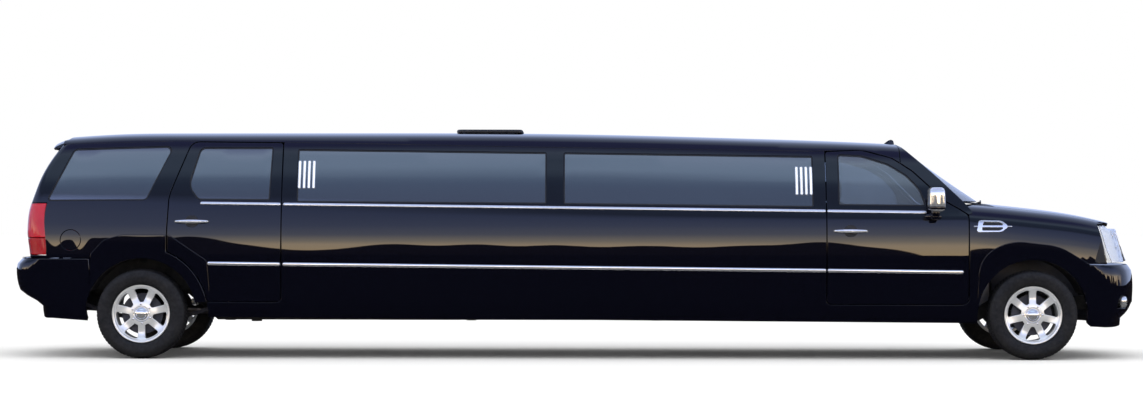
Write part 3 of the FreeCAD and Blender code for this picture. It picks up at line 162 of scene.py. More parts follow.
class CubicWeights:
    """Cubic spline through knots, as weights on the values at the knots."""

    def __init__(self, knots: Sequence[float]) -> None:
        """Solves the spline's curvatures once, for any values; end slopes are those of a parabola."""
        self.knots = np.asarray(knots, float)
        count = len(self.knots)
        self.steps = np.diff(self.knots)
        slopes = np.diff(np.eye(count), axis=0) / self.steps[:, None]
        left = np.zeros((count, count))
        right = np.zeros((count, count))
        inner = np.arange(1, count - 1)
        left[inner, inner - 1] = self.steps[:-1]
        left[inner, inner] = 2 * (self.steps[:-1] + self.steps[1:])
        left[inner, inner + 1] = self.steps[1:]
        right[1:-1] = 6 * np.diff(slopes, axis=0)
        bend_start = (slopes[1] - slopes[0]) / (self.steps[0] + self.steps[1])
        bend_stop = (slopes[-1] - slopes[-2]) / (self.steps[-1] + self.steps[-2])
        left[0, :2] = 2 * self.steps[0], self.steps[0]
        right[0] = 6 * self.steps[0] * bend_start
        left[-1, -2:] = self.steps[-1], 2 * self.steps[-1]
        right[-1] = 6 * self.steps[-1] * bend_stop
        self.bends = np.linalg.solve(left, right)

    def at(self, places: Array) -> Array:
        """Weights of the knots' values at places.

        Args:
            places: one-dimensional array of places.

        Returns:
            Array of places by knots.
        """
        places = np.asarray(places, float)
        low = np.clip(np.searchsorted(self.knots, places) - 1, 0, len(self.steps) - 1)
        step = self.steps[low]
        before = (self.knots[low + 1] - places) / step
        after = 1 - before
        eye = np.eye(len(self.knots))
        straight = before[:, None] * eye[low] + after[:, None] * eye[low + 1]
        bends = ((share ** 3 - share)[:, None] * self.bends[knot]
                 for share, knot in ((before, low), (after, low + 1)))
        return straight + sum(bends) * (step ** 2)[:, None] / 6


def cabin_half(x: float) -> list[tuple[float, float]]:
    """Right half of the cabin's section at x, from the sill to the roof's middle, in mm."""
    foot = belt(x) + 18
    crown = float(table(ROOF_LINE, x))
    scale = float(table(WIDTH_LINE, x)) / HALF_WIDTH
    low = float(table(SILL_LINE, x))
    rise = crown - foot
    section = [(905, low), (958, low + 95), (978, 600), (985, 850), (981, 1040), (965, 1180), (938, foot),
               (886, foot + rise * 0.32), (828, foot + rise * 0.58), (776, foot + rise * 0.78),
               (724, foot + rise * 0.885), (620, foot + rise * 0.945), (380, foot + rise * 0.985),
               (0, crown)]
    return [(y * scale, z) for y, z in section]


def front_half(x: float) -> list[tuple[float, float]]:
    """Right half of the front end's section at x, from the sill to the hood's middle, in mm."""
    crown = float(table(HOOD_LINE, x))
    scale = float(table(WIDTH_LINE, x)) / HALF_WIDTH
    low = float(table(SILL_LINE, x))
    section = [(905, low), (958, low + 95), (978, min(600, crown - 560)), (985, crown - 460),
               (981, crown - 300), (966, crown - 180), (938, crown - 108), (880, crown - 62),
               (790, crown - 38), (600, crown - 20), (300, crown - 6), (0, crown)]
    return [(y * scale, z) for y, z in section]


class Surface:
    """Surface P(u, v) in metres, with the cross product of its slopes times outward as its normal."""

    outward = 1.0

    def place(self, uv: Array) -> Array:
        """Points at (u, v)."""
        raise NotImplementedError

    def frame(self, uv: Array) -> tuple[Array, Array, Array, Array]:
        """Points, unit normals and the slopes along u and v, by central differences.

        Args:
            uv: array of (u, v) rows.

        Returns:
            Points, normals, slopes along u, slopes along v.
        """
        along, across = ((self.place(uv + step) - self.place(uv - step)) / (2 * SLOPE_STEP)
                         for step in SLOPE_STEP * np.eye(2))
        normal = unit(np.cross(along, across)) * self.outward
        return self.place(uv), normal, along, across


class Facing(Surface):
    """Surface across the car in (y, z), whose x is reach(y, z)."""

    def reach(self, y: Array, z: Array) -> Array:
        """x of the surface at (y, z)."""
        raise NotImplementedError

    def place(self, uv: Array) -> Array:
        """P = (reach(y, z), y, z)."""
        return np.column_stack([self.reach(uv[:, 0], uv[:, 1]), uv[:, 0], uv[:, 1]])


def halved(short_of: Callable[[Array], Array], low: Array, high: Array,
           steps: int = 30) -> tuple[Array, Array]:
    """Limits round the places up to which a condition holds, found by halving.

    Args:
        short_of: tells for an array of places whether the condition holds there.
        low: places where it holds.
        high: places where it doesn't.
        steps: number of halvings.

    Returns:
        The last places found where it holds and the first where it doesn't.
    """
    for _ in range(steps):
        middle = (low + high) / 2
        short = short_of(middle)
        low, high = np.where(short, middle, low), np.where(short, high, middle)
    return low, high


class Loft(Surface):
    """Skin through the half-sections in (x, s), where s runs from the right sill over the top."""

    def __init__(self, half: Callable[[float], list], stations: Sequence[float]) -> None:
        """Both halves of each section become one row; s is the chord length of the middle row."""
        rows = []
        for x in stations:
            right = [(-y, z) for y, z in half(x)]
            rows.append(right + [(-y, z) for y, z in reversed(right[:-1])])
        self.points = np.asarray(rows, float) * MM
        middle = self.points[len(stations) // 2]
        chord = np.concatenate([[0.0], np.cumsum(np.linalg.norm(np.diff(middle, axis=0), axis=1))])
        self.along = CubicWeights(np.asarray(stations, float) * MM)
        self.round = CubicWeights(chord)
        self.top = chord[-1] / 2

    def place(self, uv: Array) -> Array:
        """P = sum over stations and section points of weight(x) times weight(s) times point."""
        by_x = self.along.at(uv[:, 0])
        by_s = self.round.at(uv[:, 1])
        yz = np.einsum("na,abk,nb->nk", by_x, self.points, by_s, optimize=True)
        return np.column_stack([uv[:, 0], yz])

    def solve(self, x: Array, goal: Array, measure: Callable[[Array], Array], low: float,
              high: float) -> Array:
        """s at which measure(points) reaches goal, between low and high, where it rises."""
        return sum(halved(lambda s: measure(self.place(np.column_stack([x, s]))) < goal,
                          np.broadcast_to(low, x.shape), np.broadcast_to(high, x.shape), 26)) / 2

    def s_at_height(self, x: Array, z: Array) -> Array:
        """s of the right side at height z."""
        return self.solve(x, z, lambda p: p[:, 2], 0.0, self.top)

    def s_at_width(self, x: Array, y: Array) -> Array:
        """s of the right upper part where the skin is y to the right of the middle, y above 0."""
        return self.solve(x, -y, lambda p: p[:, 1], 0.75, self.top)


@dataclass
class Flank(Surface):
    """Right side of a loft in (x, z), splined through half-widths read at shares of the section's height."""

    loft: Loft
    first: float
    last: float
    raised: float = 0.0

    def __post_init__(self) -> None:
        """Reads the loft's half-width on a grid of x and height share."""
        xs = np.linspace(self.first, self.last, 26) * MM
        shares = 1 - (1 - np.linspace(0.0, 0.93, 38)) ** 1.5
        weights = self.loft.along
        middle = self.loft.points.shape[1] // 2
        self.lows = self.loft.points[:, 0, 1]
        self.crowns = self.loft.points[:, middle, 1]
        grid_x, grid_h = np.meshgrid(xs, shares, indexing="ij")
        flat_x = grid_x.ravel()
        by_station = weights.at(flat_x)
        low, crown = by_station @ self.lows, by_station @ self.crowns
        s = self.loft.s_at_height(flat_x, low + grid_h.ravel() * (crown - low))
        self.widths = self.loft.place(np.column_stack([flat_x, s]))[:, 1].reshape(grid_x.shape)
        self.by_x = CubicWeights(xs)
        self.by_share = CubicWeights(shares)

    def width(self, x: Array, z: Array) -> Array:
        """y of the side at (x, z), negative on the right."""
        by_station = self.loft.along.at(x)
        low, crown = by_station @ self.lows, by_station @ self.crowns
        share = (z - low) / (crown - low)
        by_x, by_share = self.by_x.at(x), self.by_share.at(share)
        return np.einsum("na,ab,nb->n", by_x, self.widths, by_share, optimize=True) - self.raised

    def place(self, uv: Array) -> Array:
        """P = (x, width(x, z), z)."""
        return np.column_stack([uv[:, 0], self.width(uv[:, 0], uv[:, 1]), uv[:, 1]])


@dataclass
class EndFace(Facing):
    """Nose, tail or bumper face in (y, z): a line of z, bowed back in plan and rounded at its corners."""

    line: Sequence
    bow: float
    corner_y: float
    corner_reach: float
    facing: float

    def __post_init__(self) -> None:
        """A spline through the line read at 15 even heights, so that the face has no creases."""
        rows = np.asarray(self.line, float)
        self.heights = np.linspace(rows[0, 0], rows[-1, 0], 15)
        self.by_z = CubicWeights(self.heights * MM)
        self.values = table(self.line, self.heights) * MM
        self.outward = self.facing

    def reach(self, y: Array, z: Array) -> Array:
        """x of the face at (y, z)."""
        y_mm = np.abs(y) / MM
        beyond = np.maximum(0.0, y_mm - self.corner_y) / (HALF_WIDTH - self.corner_y)
        back = y_mm ** 2 / (2 * self.bow) + self.corner_reach * beyond ** 2.6
        return self.by_z.at(z) @ self.values - self.facing * back * MM


@dataclass
class Corner(Surface):
    """Side and end face joined round a corner, in (u, z).

    u is 0 at the meeting line and below 0 along the side. Within the blend the section is a quadratic
    Bezier curve from the side to the end face.
    """

    flank: Flank
    end: EndFace
    low: float
    high: float
    blend: float = 45.0

    def __post_init__(self) -> None:
        """Solves the meeting line of side and end face at 24 heights."""
        z = np.linspace(self.low, self.high, 24) * MM
        self.meet_y = sum(halved(lambda y: -self.flank.width(self.end.reach(-y, z), z) > y,
                                 np.full(z.shape, 0.3), np.full(z.shape, 1.0), 40)) / 2
        self.by_z = CubicWeights(z)
        self.meet_x = self.end.reach(-self.meet_y, z)
        self.outward = self.end.facing

    def meeting(self, z: Array) -> tuple[Array, Array]:
        """x and half-width of the meeting line at z."""
        weights = self.by_z.at(z)
        return weights @ self.meet_x, weights @ self.meet_y

    def to_u(self, x: Array, z: Array) -> Array:
        """u of a side place (x, z)."""
        return (x - self.meeting(z)[0]) * self.end.facing

    def on_side(self, places: Sequence) -> Array:
        """(u, z) of side places (x, z) in metres."""
        spots = np.asarray(places, float)
        return np.column_stack([self.to_u(spots[:, 0], spots[:, 1]), spots[:, 1]])

    def on_end(self, places: Sequence) -> Array:
        """(u, z) of end face places (y, z) in metres, y negative on the right."""
        spots = np.asarray(places, float)
        return np.column_stack([self.meeting(spots[:, 1])[1] + spots[:, 0], spots[:, 1]])

    def place(self, uv: Array) -> Array:
        """P on the side, the corner's curve or the end face."""
        u, z = uv[:, 0], uv[:, 1]
        meet_x, meet_y = self.meeting(z)
        reach = self.blend * MM
        facing = self.end.facing
        side_x = meet_x + facing * np.minimum(u, -reach)
        side = np.column_stack([side_x, self.flank.width(side_x, z), z])
        end_y = -(meet_y - np.maximum(u, reach))
        end = np.column_stack([self.end.reach(end_y, z), end_y, z])
        middle = np.column_stack([meet_x, -meet_y, z])
        share = np.clip((u + reach) / (2 * reach), 0, 1)[:, None]
        return side * (1 - share) ** 2 + middle * 2 * share * (1 - share) + end * share ** 2


@dataclass
class Wrap(Surface):
    """Both corners and the whole end face in (w, z): w is 0 at the car's middle and below 0 on the right."""

    corner: Corner

    def __post_init__(self) -> None:
        """Keeps the corner's outward side."""
        self.outward = self.corner.outward

    def to_w(self, x: Array, z: Array) -> Array:
        """w of a right side place (x, z)."""
        return self.corner.to_u(x, z) - self.corner.meeting(z)[1]

    def place(self, uv: Array) -> Array:
        """P = the corner's point at u = meeting half-width - |w|, mirrored for w above 0."""
        u = self.corner.meeting(uv[:, 1])[1] - np.abs(uv[:, 0])
        points = self.corner.place(np.column_stack([u, uv[:, 1]]))
        points[:, 1] *= np.where(uv[:, 0] > 0, -1.0, 1.0)
        return points


@dataclass
class Screen(Facing):
    """Windscreen in (y, z), bowed forward at its middle and sunk along x."""

    sunk: float = 0.0

    def __post_init__(self) -> None:
        """A spline through the screen's line."""
        rows = np.asarray(SCREEN_LINE, float)
        self.by_z = CubicWeights(rows[:, 0] * MM)
        self.values = rows[:, 1] * MM

    def reach(self, y: Array, z: Array) -> Array:
        """x of the screen at (y, z)."""
        bow = 0.230 - 0.190 * (z - 1.3) / 0.5
        return self.by_z.at(z) @ self.values - bow * (y / 0.87) ** 2 - self.sunk * MM


@dataclass
class Plane(Surface):
    """Flat surface P = origin + u a + v b; its normal is a cross b."""

    origin: Sequence[float]
    a: Sequence[float]
    b: Sequence[float]

    def place(self, uv: Array) -> Array:
        """Points of the plane, in metres."""
        return (np.asarray(self.origin, float) + uv[:, :1] * np.asarray(self.a, float)
                + uv[:, 1:] * np.asarray(self.b, float))


@dataclass
class Rolled(Surface):
    """Inside of a cylinder round an axle: P = axle + r (cos(u / r), 0, sin(u / r)) at the width v."""

    axle_x: float
    radius: float

    def place(self, uv: Array) -> Array:
        """Points of the cylinder, in metres."""
        angle = uv[:, 0] / self.radius
        return np.column_stack([self.axle_x * MM + self.radius * np.cos(angle), uv[:, 1],
                                AXLE_Z * MM + self.radius * np.sin(angle)])


@dataclass
class Raised(Surface):
    """Another surface moved along its normals by a height in metres, which may fall off below a crest."""

    base: Surface
    height: float
    crest: float = 0.0
    fall: float = 0.0

    def __post_init__(self) -> None:
        """Keeps the base's outward side."""
        self.outward = self.base.outward

    def place(self, uv: Array) -> Array:
        """P = base + normal h, where h = height - fall (crest - v), kept from height / 4 to height."""
        points, normals, _, _ = self.base.frame(uv)
        height = np.clip(self.height - self.fall * (self.crest - uv[:, 1]), self.height / 4, self.height)
        return points + normals * height[:, None]


@dataclass
class Shell:
    """Mesh as arrays: points, their normals, triangles and each triangle's finish number."""

    points: Array
    normals: Array
    triangles: Array
    finish: Array

    def mirrored(self) -> "Shell":
        """The mesh on the other side of the car, still facing outwards."""
        flip = np.array([1.0, -1.0, 1.0])
        return Shell(self.points * flip, self.normals * flip, self.triangles[:, ::-1], self.finish)

    def on(self, side: Side) -> "Shell":
        """A right-side mesh as it is on that side of the car."""
        return self if side is Side.RIGHT else self.mirrored()

    def painted(self, number: int) -> "Shell":
        """The mesh with one finish number all over."""
        return Shell(self.points, self.normals, self.triangles, np.full(len(self.triangles), number))


def joined(shells: Sequence[Shell]) -> Shell:
    """Several meshes as one."""
    counts = np.cumsum([0] + [len(s.points) for s in shells[:-1]])
    return Shell(np.concatenate([s.points for s in shells]), np.concatenate([s.normals for s in shells]),
                 np.concatenate([s.triangles + start for s, start in zip(shells, counts)]),
                 np.concatenate([s.finish for s in shells]))


def both(shell: Shell) -> Shell:
    """A right-side mesh with its mirror image."""
    return joined([shell, shell.mirrored()])


def rounded(points: Sequence, step: float = 30.0) -> Array:
    """Closed outline through corners, with arcs of each corner's third number, split at the step, in metres.

    Args:
        points: (u, v) or (u, v, radius) corners in mm.
        step: longest straight run between two points in mm.

    Returns:
        Array of (u, v) in metres.
    """
    corners = np.array([p[:2] for p in points], float)
    radii = [p[2] if len(p) > 2 else 0.0 for p in points]
    path = []
    for i, corner in enumerate(corners):
        before = unit(corners[i - 1] - corner)
        after = unit(corners[(i + 1) % len(corners)] - corner)
        half = math.acos(float(np.clip(before @ after, -1, 1))) / 2
        if radii[i] <= 0 or half > 1.56:
            path.append(corner[None])
            continue
        run = radii[i] / math.tan(half)
        centre = corner + unit(before + after) * radii[i] / math.sin(half)
        start = corner + before * run - centre
        stop = corner + after * run - centre
        sweep = math.pi - 2 * half
        count = max(3, int(sweep * radii[i] / 12) + 2)
        share = np.linspace(0, 1, count)[:, None]
        weights = np.sin((1 - share) * sweep), np.sin(share * sweep)
        path.append(centre + (weights[0] * start + weights[1] * stop) / math.sin(sweep))
    return resampled(np.concatenate(path), step) * MM


def box(u0: float, u1: float, v0: float, v1: float, radius: float = 0.0, step: float = 30.0) -> Array:
    """Outline of a rectangle between limits in mm, with round corners, in metres."""
    return rounded([(u0, v0, radius), (u1, v0, radius), (u1, v1, radius), (u0, v1, radius)], step)


def resampled(loop: Array, step: float) -> Array:
    """The closed loop with its long runs split so that none is longer than step."""
    pieces = []
    for start, stop in zip(loop, np.roll(loop, -1, axis=0)):
        length = float(np.linalg.norm(stop - start))
        if length < 1e-6:
            continue
        count = max(1, int(math.ceil(length / step)))
        pieces.append(start + (stop - start) * (np.arange(count) / count)[:, None])
    return np.concatenate(pieces)


def turned_left(loop: Array, outer: bool) -> Array:
    """The loop counter-clockwise for an outline, clockwise for a hole, so that the piece is on its left."""
    following = np.roll(loop, -1, axis=0)
    area = float(np.sum(loop[:, 0] * following[:, 1] - loop[:, 1] * following[:, 0]))
    return loop if (area > 0) == outer else loop[::-1]


def inwards(loop: Array) -> Array:
    """Step from each loop point into the piece, long enough to keep an even margin at corners."""
    before = unit(loop - np.roll(loop, 1, axis=0))
    after = unit(np.roll(loop, -1, axis=0) - loop)
    first = np.column_stack([-before[:, 1], before[:, 0]])
    second = np.column_stack([-after[:, 1], after[:, 0]])
    return (first + second) / np.maximum(1 + np.sum(first * second, axis=1), 0.35)[:, None]


def holds(loop: Array, points: Array) -> Array:
    """Whether each point is inside the loop, by counting crossings."""
    a, b = loop, np.roll(loop, -1, axis=0)
    x, y = points[:, 0][:, None], points[:, 1][:, None]
    crosses = (a[:, 1] > y) != (b[:, 1] > y)
    rise = np.where(np.abs(b[:, 1] - a[:, 1]) < 1e-12, 1e-12, b[:, 1] - a[:, 1])
    return np.sum(crosses & (x < (b[:, 0] - a[:, 0]) * (y - a[:, 1]) / rise + a[:, 0]), axis=1) % 2 == 1


def filled(loops: Sequence[Array], grid: float) -> tuple[Array, Array, list[Array]]:
    """Triangles of the area inside the first loop and outside the others, with an even grid of points in it.

    Args:
        loops: the outline and its holes.
        grid: pitch of the inner points in metres.

    Returns:
        The points, the triangles, and for each loop the numbers of its points.
    """
    outer = loops[0]
    low, high = outer.min(0), outer.max(0)
    us = np.arange(low[0] + grid / 2, high[0], grid)
    vs = np.arange(low[1] + grid / 2, high[1], grid)
    inner = np.stack(np.meshgrid(us, vs, indexing="ij"), -1).reshape(-1, 2)
    rim = np.concatenate(loops)
    if len(inner):
        keep = holds(outer, inner)
        for hole in loops[1:]:
            keep &= ~holds(hole, inner)
        inner = inner[keep]
    if len(inner):
        gaps = np.min(np.linalg.norm(inner[:, None] - rim[None], axis=2), axis=1)
        inner = inner[gaps > grid * 0.45]
    points = np.concatenate([rim, inner])
    numbers, start = [], 0
    edges = []
    for loop in loops:
        span = np.arange(start, start + len(loop))
        numbers.append(span)
        edges.append(np.column_stack([span, np.roll(span, -1)]))
        start += len(loop)
    result = delaunay_2d_cdt([tuple(p) for p in points], np.concatenate(edges).tolist(), [], 0, 1e-9)
    flat = np.array([tuple(v) for v in result[0]])
    triangles = np.array(result[2], int)
    middles = flat[triangles].mean(1)
    inside = holds(outer, middles)
    for hole in loops[1:]:
        inside &= ~holds(hole, middles)
    triangles = triangles[inside]
    lookup = np.full(len(points), -1)
    for new, origins in enumerate(result[3]):
        lookup[origins] = new
    a, b, c = flat[triangles[:, 0]], flat[triangles[:, 1]], flat[triangles[:, 2]]
    area = (b[:, 0] - a[:, 0]) * (c[:, 1] - a[:, 1]) - (b[:, 1] - a[:, 1]) * (c[:, 0] - a[:, 0])
    triangles = np.where((area < 0)[:, None], triangles[:, ::-1], triangles)
    return flat, triangles[np.abs(area) > 1e-12], [lookup[n] for n in numbers]


def ribbon(first: Array, second: Array, closed: bool = True) -> Array:
    """Triangles between two rows of point numbers, facing left of the row's direction seen from outside."""
    last = len(first) if closed else len(first) - 1
    i = np.arange(last)
    j = (i + 1) % len(first)
    return np.concatenate([np.column_stack([first[i], second[j], first[j]]),
                           np.column_stack([first[i], second[i], second[j]])])


def panel(surface: Surface, outer: Array, holes: Sequence[Array] = (), depth: float = 0.016,
          edge: float = 0.004, grid: float = 0.045, rings: int = 3, back: int = 1) -> Shell:
    """Piece of sheet on a surface, with edges rolled over into walls, closed by an inner face.

    The face follows P(u, v). Towards an edge the loop is set in by edge (1 - sin a) and sunk by
    edge (1 - cos a) for a from 0 to 90 degrees, and then a straight wall goes down to depth.

    Args:
        surface: the surface that the piece lies on.
        outer: closed outline in (u, v).
        holes: closed outlines of holes.
        depth: thickness of the sheet in metres.
        edge: radius of the rolled edge.
        grid: pitch of the inner points.
        rings: steps of the rolled edge.
        back: finish number of the inner face.

    Returns:
        The closed mesh; its outer face, edges and walls have finish 0.
    """
    loops = [turned_left(outer, True)] + [turned_left(h, False) for h in holes]
    steps = [inwards(loop) for loop in loops]
    flat, triangles, rims = filled([loop + step * edge for loop, step in zip(loops, steps)], grid)
    face, face_normal, along, across = surface.frame(flat)
    flipped = float(np.mean(np.sum(np.cross(along, across) * face_normal, axis=1))) < 0
    points, normals = [face], [face_normal]
    faces = [triangles]
    paint = [np.zeros(len(triangles))]
    start = len(flat)
    floors = []
    for loop, step, rim in zip(loops, steps, rims):
        row = rim
        for k in range(1, rings + 2):
            angle = math.pi / 2 * min(k, rings) / rings
            sunk = edge * (1 - math.cos(angle)) if k <= rings else depth
            spot, normal, du, dv = surface.frame(loop + step * edge * (1 - math.sin(angle)))
            inward = step[:, :1] * du + step[:, 1:] * dv
            inward = unit(inward - normal * np.sum(inward * normal, axis=1, keepdims=True))
            points.append(spot - normal * sunk)
            normals.append(normal * math.cos(angle) - inward * math.sin(angle))
            numbers = np.arange(start, start + len(loop))
            start += len(loop)
            faces.append(ribbon(row, numbers))
            paint.append(np.zeros(2 * len(loop)))
            row = numbers
        floors.append(row)
    inner_start = start
    points.append(face - face_normal * depth)
    normals.append(-face_normal)
    faces.append(triangles[:, ::-1] + inner_start)
    paint.append(np.full(len(triangles), back))
    for rim, floor in zip(rims, floors):
        faces.append(ribbon(floor, rim + inner_start))
        paint.append(np.full(2 * len(rim), back))
    tri = np.concatenate(faces)
    return Shell(np.concatenate(points), np.concatenate(normals), tri[:, ::-1] if flipped else tri,
                 np.concatenate(paint).astype(int))


def patch(surface: Surface, height: float, outline: Array, depth: float, edge: float, grid: float = 0.2,
          finish: int = 0, holes: Sequence[Array] = (), rings: int = 2) -> Shell:
    """Small piece of one finish, raised above a surface.

    Args:
        surface: the surface below it.
        height: how far it is raised, in metres.
        outline: closed outline in (u, v).
        depth: thickness in metres.
        edge: radius of the rolled edge.
        grid: pitch of the inner points.
        finish: finish number.
        holes: closed outlines of holes.
        rings: steps of the rolled edge.

    Returns:
        The closed mesh.
    """
    return panel(Raised(surface, height), outline, holes, depth, edge, grid, rings, 0).painted(finish)


def level(z: float) -> Plane:
    """Level plane in (x, y) at a height in metres."""
    return Plane((0, 0, z), (1, 0, 0), (0, 1, 0))


def grid_shell(rows: Array, close_rows: bool = False, close_columns: bool = False,
               flip: bool = False) -> Shell:
    """Mesh of a grid of points P[i, j], with normals from the grid's own slopes.

    Args:
        rows: array of rows by columns by 3.
        close_rows: whether the last row joins the first.
        close_columns: whether the last column joins the first.
        flip: turns the mesh the other way out.

    Returns:
        The mesh, open where it isn't closed round.
    """
    def slope(values: Array, axis: int, closed: bool) -> Array:
        if closed:
            return np.roll(values, -1, axis) - np.roll(values, 1, axis)
        return np.gradient(values, axis=axis)

    normals = unit(np.cross(slope(rows, 0, close_rows), slope(rows, 1, close_columns)))
    n, m = rows.shape[:2]
    i = np.arange(n if close_rows else n - 1)[:, None]
    j = np.arange(m if close_columns else m - 1)[None]
    a = (i * m + j).ravel()
    b = (((i + 1) % n) * m + j).ravel()
    c = (((i + 1) % n) * m + (j + 1) % m).ravel()
    d = (i * m + (j + 1) % m).ravel()
    tri = np.concatenate([np.column_stack([a, b, c]), np.column_stack([a, c, d])])
    if flip:
        tri, normals = tri[:, ::-1], -normals
    return Shell(rows.reshape(-1, 3), normals.reshape(-1, 3), tri, np.zeros(len(tri), int))


def revolved(profile: Sequence, centre: Sequence[float], axis_sign: float, count: int = 96) -> Shell:
    """Solid of revolution about a line along Y: a closed profile of (radius, offset) in mm, turned once.

    Each corner of the profile is kept crisp by giving each run its own two rows of points.

    Args:
        profile: closed profile; offset is measured from the centre along axis_sign times Y.
        centre: (x, y, z) in mm.
        axis_sign: 1 or -1.
        count: steps round.

    Returns:
        The closed mesh.
    """
    corners = np.asarray(profile, float)
    area = np.sum(corners[:, 0] * np.roll(corners[:, 1], -1) - corners[:, 1] * np.roll(corners[:, 0], -1))
    if area < 0:
        corners = corners[::-1]
    following = np.roll(corners, -1, axis=0)
    angle = np.linspace(0, 2 * math.pi, count, endpoint=False)
    shells = []
    slopes = unit(following - corners)
    outs = np.column_stack([slopes[:, 1], -slopes[:, 0]])
    same = np.sum(outs * np.roll(outs, 1, axis=0), axis=1) > 0.8
    start_out = np.where(same[:, None], unit(outs + np.roll(outs, 1, axis=0)), outs)
    stop_out = np.roll(start_out, -1, axis=0)
    stop_out = np.where(np.roll(same, -1)[:, None], stop_out, outs)
    for a, b, na, nb in zip(corners, following, start_out, stop_out):
        radius, offset = np.array([a, b]).T[:, :, None]
        wide = np.broadcast_to(centre[1] + axis_sign * offset, (2, count))
        points = np.stack([centre[0] + radius * np.sin(angle), wide, centre[2] + radius * np.cos(angle)], -1)
        steep, level_part = np.array([na, nb]).T[:, :, None]
        sideways = np.broadcast_to(axis_sign * level_part, (2, count))
        normals = np.stack([steep * np.sin(angle), sideways, steep * np.cos(angle)], -1)
        shell = grid_shell(points * MM, close_columns=True, flip=axis_sign > 0)
        shell.normals = normals.reshape(-1, 3)
        shells.append(shell)
    return joined(shells)


def tube(path: Array, radius: float | Array, sides: int = 16, closed: bool = False,
         flat: float = 1.0) -> Shell:
    """Bar along a path of points: ellipses square to the path, with closed ends.

    Args:
        path: rows of (x, y, z) in metres.
        radius: one radius, or one for each point.
        sides: steps round.
        closed: whether the path is a ring.
        flat: share of the radius in the level direction.

    Returns:
        The closed mesh.
    """
    slopes = (np.roll(path, -1, 0) - np.roll(path, 1, 0)) if closed else np.gradient(path, axis=0)
    tangent = unit(slopes)
    helper = np.where(np.abs(tangent[:, 2:]) < 0.9, np.array([[0.0, 0.0, 1.0]]), np.array([[1.0, 0.0, 0.0]]))
    first = unit(np.cross(tangent, helper))
    second = np.cross(tangent, first)
    first = first * flat
    angle = np.linspace(0, 2 * math.pi, sides, endpoint=False)
    size = np.broadcast_to(np.asarray(radius, float), (len(path),))
    if not closed:
        path = np.concatenate([path[:1], path, path[-1:]])
        first = np.concatenate([first[:1], first, first[-1:]])
        second = np.concatenate([second[:1], second, second[-1:]])
        size = np.concatenate([[1e-5], size, [1e-5]])
    rows = (path[:, None] + size[:, None, None] * (first[:, None] * np.cos(angle)[None, :, None]
            + second[:, None] * np.sin(angle)[None, :, None]))
    return grid_shell(rows, close_rows=closed, close_columns=True, flip=True)


def pillow(centre: Sequence[float], half: Sequence[float], power: float = 4.0, rows: int = 28,
           sides: int = 48) -> Shell:
    """Rounded block: a superellipsoid P = centre + half * sign(c) |c|^(2/power) for a ball's coordinates c.

    Args:
        centre: middle in metres.
        half: half sizes along x, y and z in metres.
        power: 2 for a ball, higher for a squarer block.
        rows: steps from pole to pole.
        sides: steps round.

    Returns:
        The closed mesh.
    """
    tilt = np.linspace(-math.pi / 2 + 1e-3, math.pi / 2 - 1e-3, rows)[:, None]
    angle = np.linspace(0, 2 * math.pi, sides, endpoint=False)[None]
    ball = np.stack([np.cos(tilt) * np.cos(angle), np.cos(tilt) * np.sin(angle),
                     np.sin(tilt) * np.ones_like(angle)], -1)
    points = np.sign(ball) * np.abs(ball) ** (2 / power) * np.asarray(half, float)
    return grid_shell(points + np.asarray(centre, float), close_columns=True, flip=True)


def moulding(surface: Surface, start: float, stop: float, line: Callable[[Array], Array], half: float,
             proud: float) -> Shell:
    """Bright strip along x on a side, with a half-ellipse section.

    P = skin(x, z(x) + h half) + normal proud sqrt(1 - h h). Its height narrows to nothing over the last few
    millimetres at both ends.

    Args:
        surface: the side in (x, z).
        start: first x in mm.
        stop: last x in mm.
        line: function of x in mm that gives the strip's middle height in mm.
        half: half height in mm.
        proud: how far it stands off the skin in mm.

    Returns:
        The closed mesh.
    """
    ease = np.array([0.0, 0.3, 0.6, 0.85, 1.0])
    run = np.concatenate([start + 14 * ease,
                          np.linspace(start + 30, stop - 30, max(4, int((stop - start) / 90))),
                          stop - 14 * ease[::-1]])
    edge = np.minimum(1.0, np.minimum(run - start, stop - run) / 14)
    swell = np.sqrt(np.maximum(0.0, 1 - (1 - edge) ** 2)) + 0.02
    around = np.linspace(0, math.pi, 11)
    h = np.concatenate([-np.cos(around), [0.9, -0.9]])
    lift = np.concatenate([np.sin(around), [-0.5, -0.5]])
    x, hh = np.meshgrid(run, h, indexing="ij")
    z = line(x) + hh * half * swell[:, None]
    spot, normal, _, _ = surface.frame(np.column_stack([x.ravel(), z.ravel()]) * MM)
    rise = (np.broadcast_to(lift, x.shape) * swell[:, None] * proud).ravel()[:, None] * MM
    return grid_shell((spot + normal * rise).reshape(*x.shape, 3), close_columns=True)


def strips(surface: Surface, upper: tuple, lower: tuple) -> Shell:
    """The belt strip and the lower strip of a side, each between its two ends in mm."""
    return joined([moulding(surface, *upper, belt, BELT_HALF, TRIM_PROUD),
                   moulding(surface, *lower, strip, STRIP_HALF, TRIM_PROUD)])


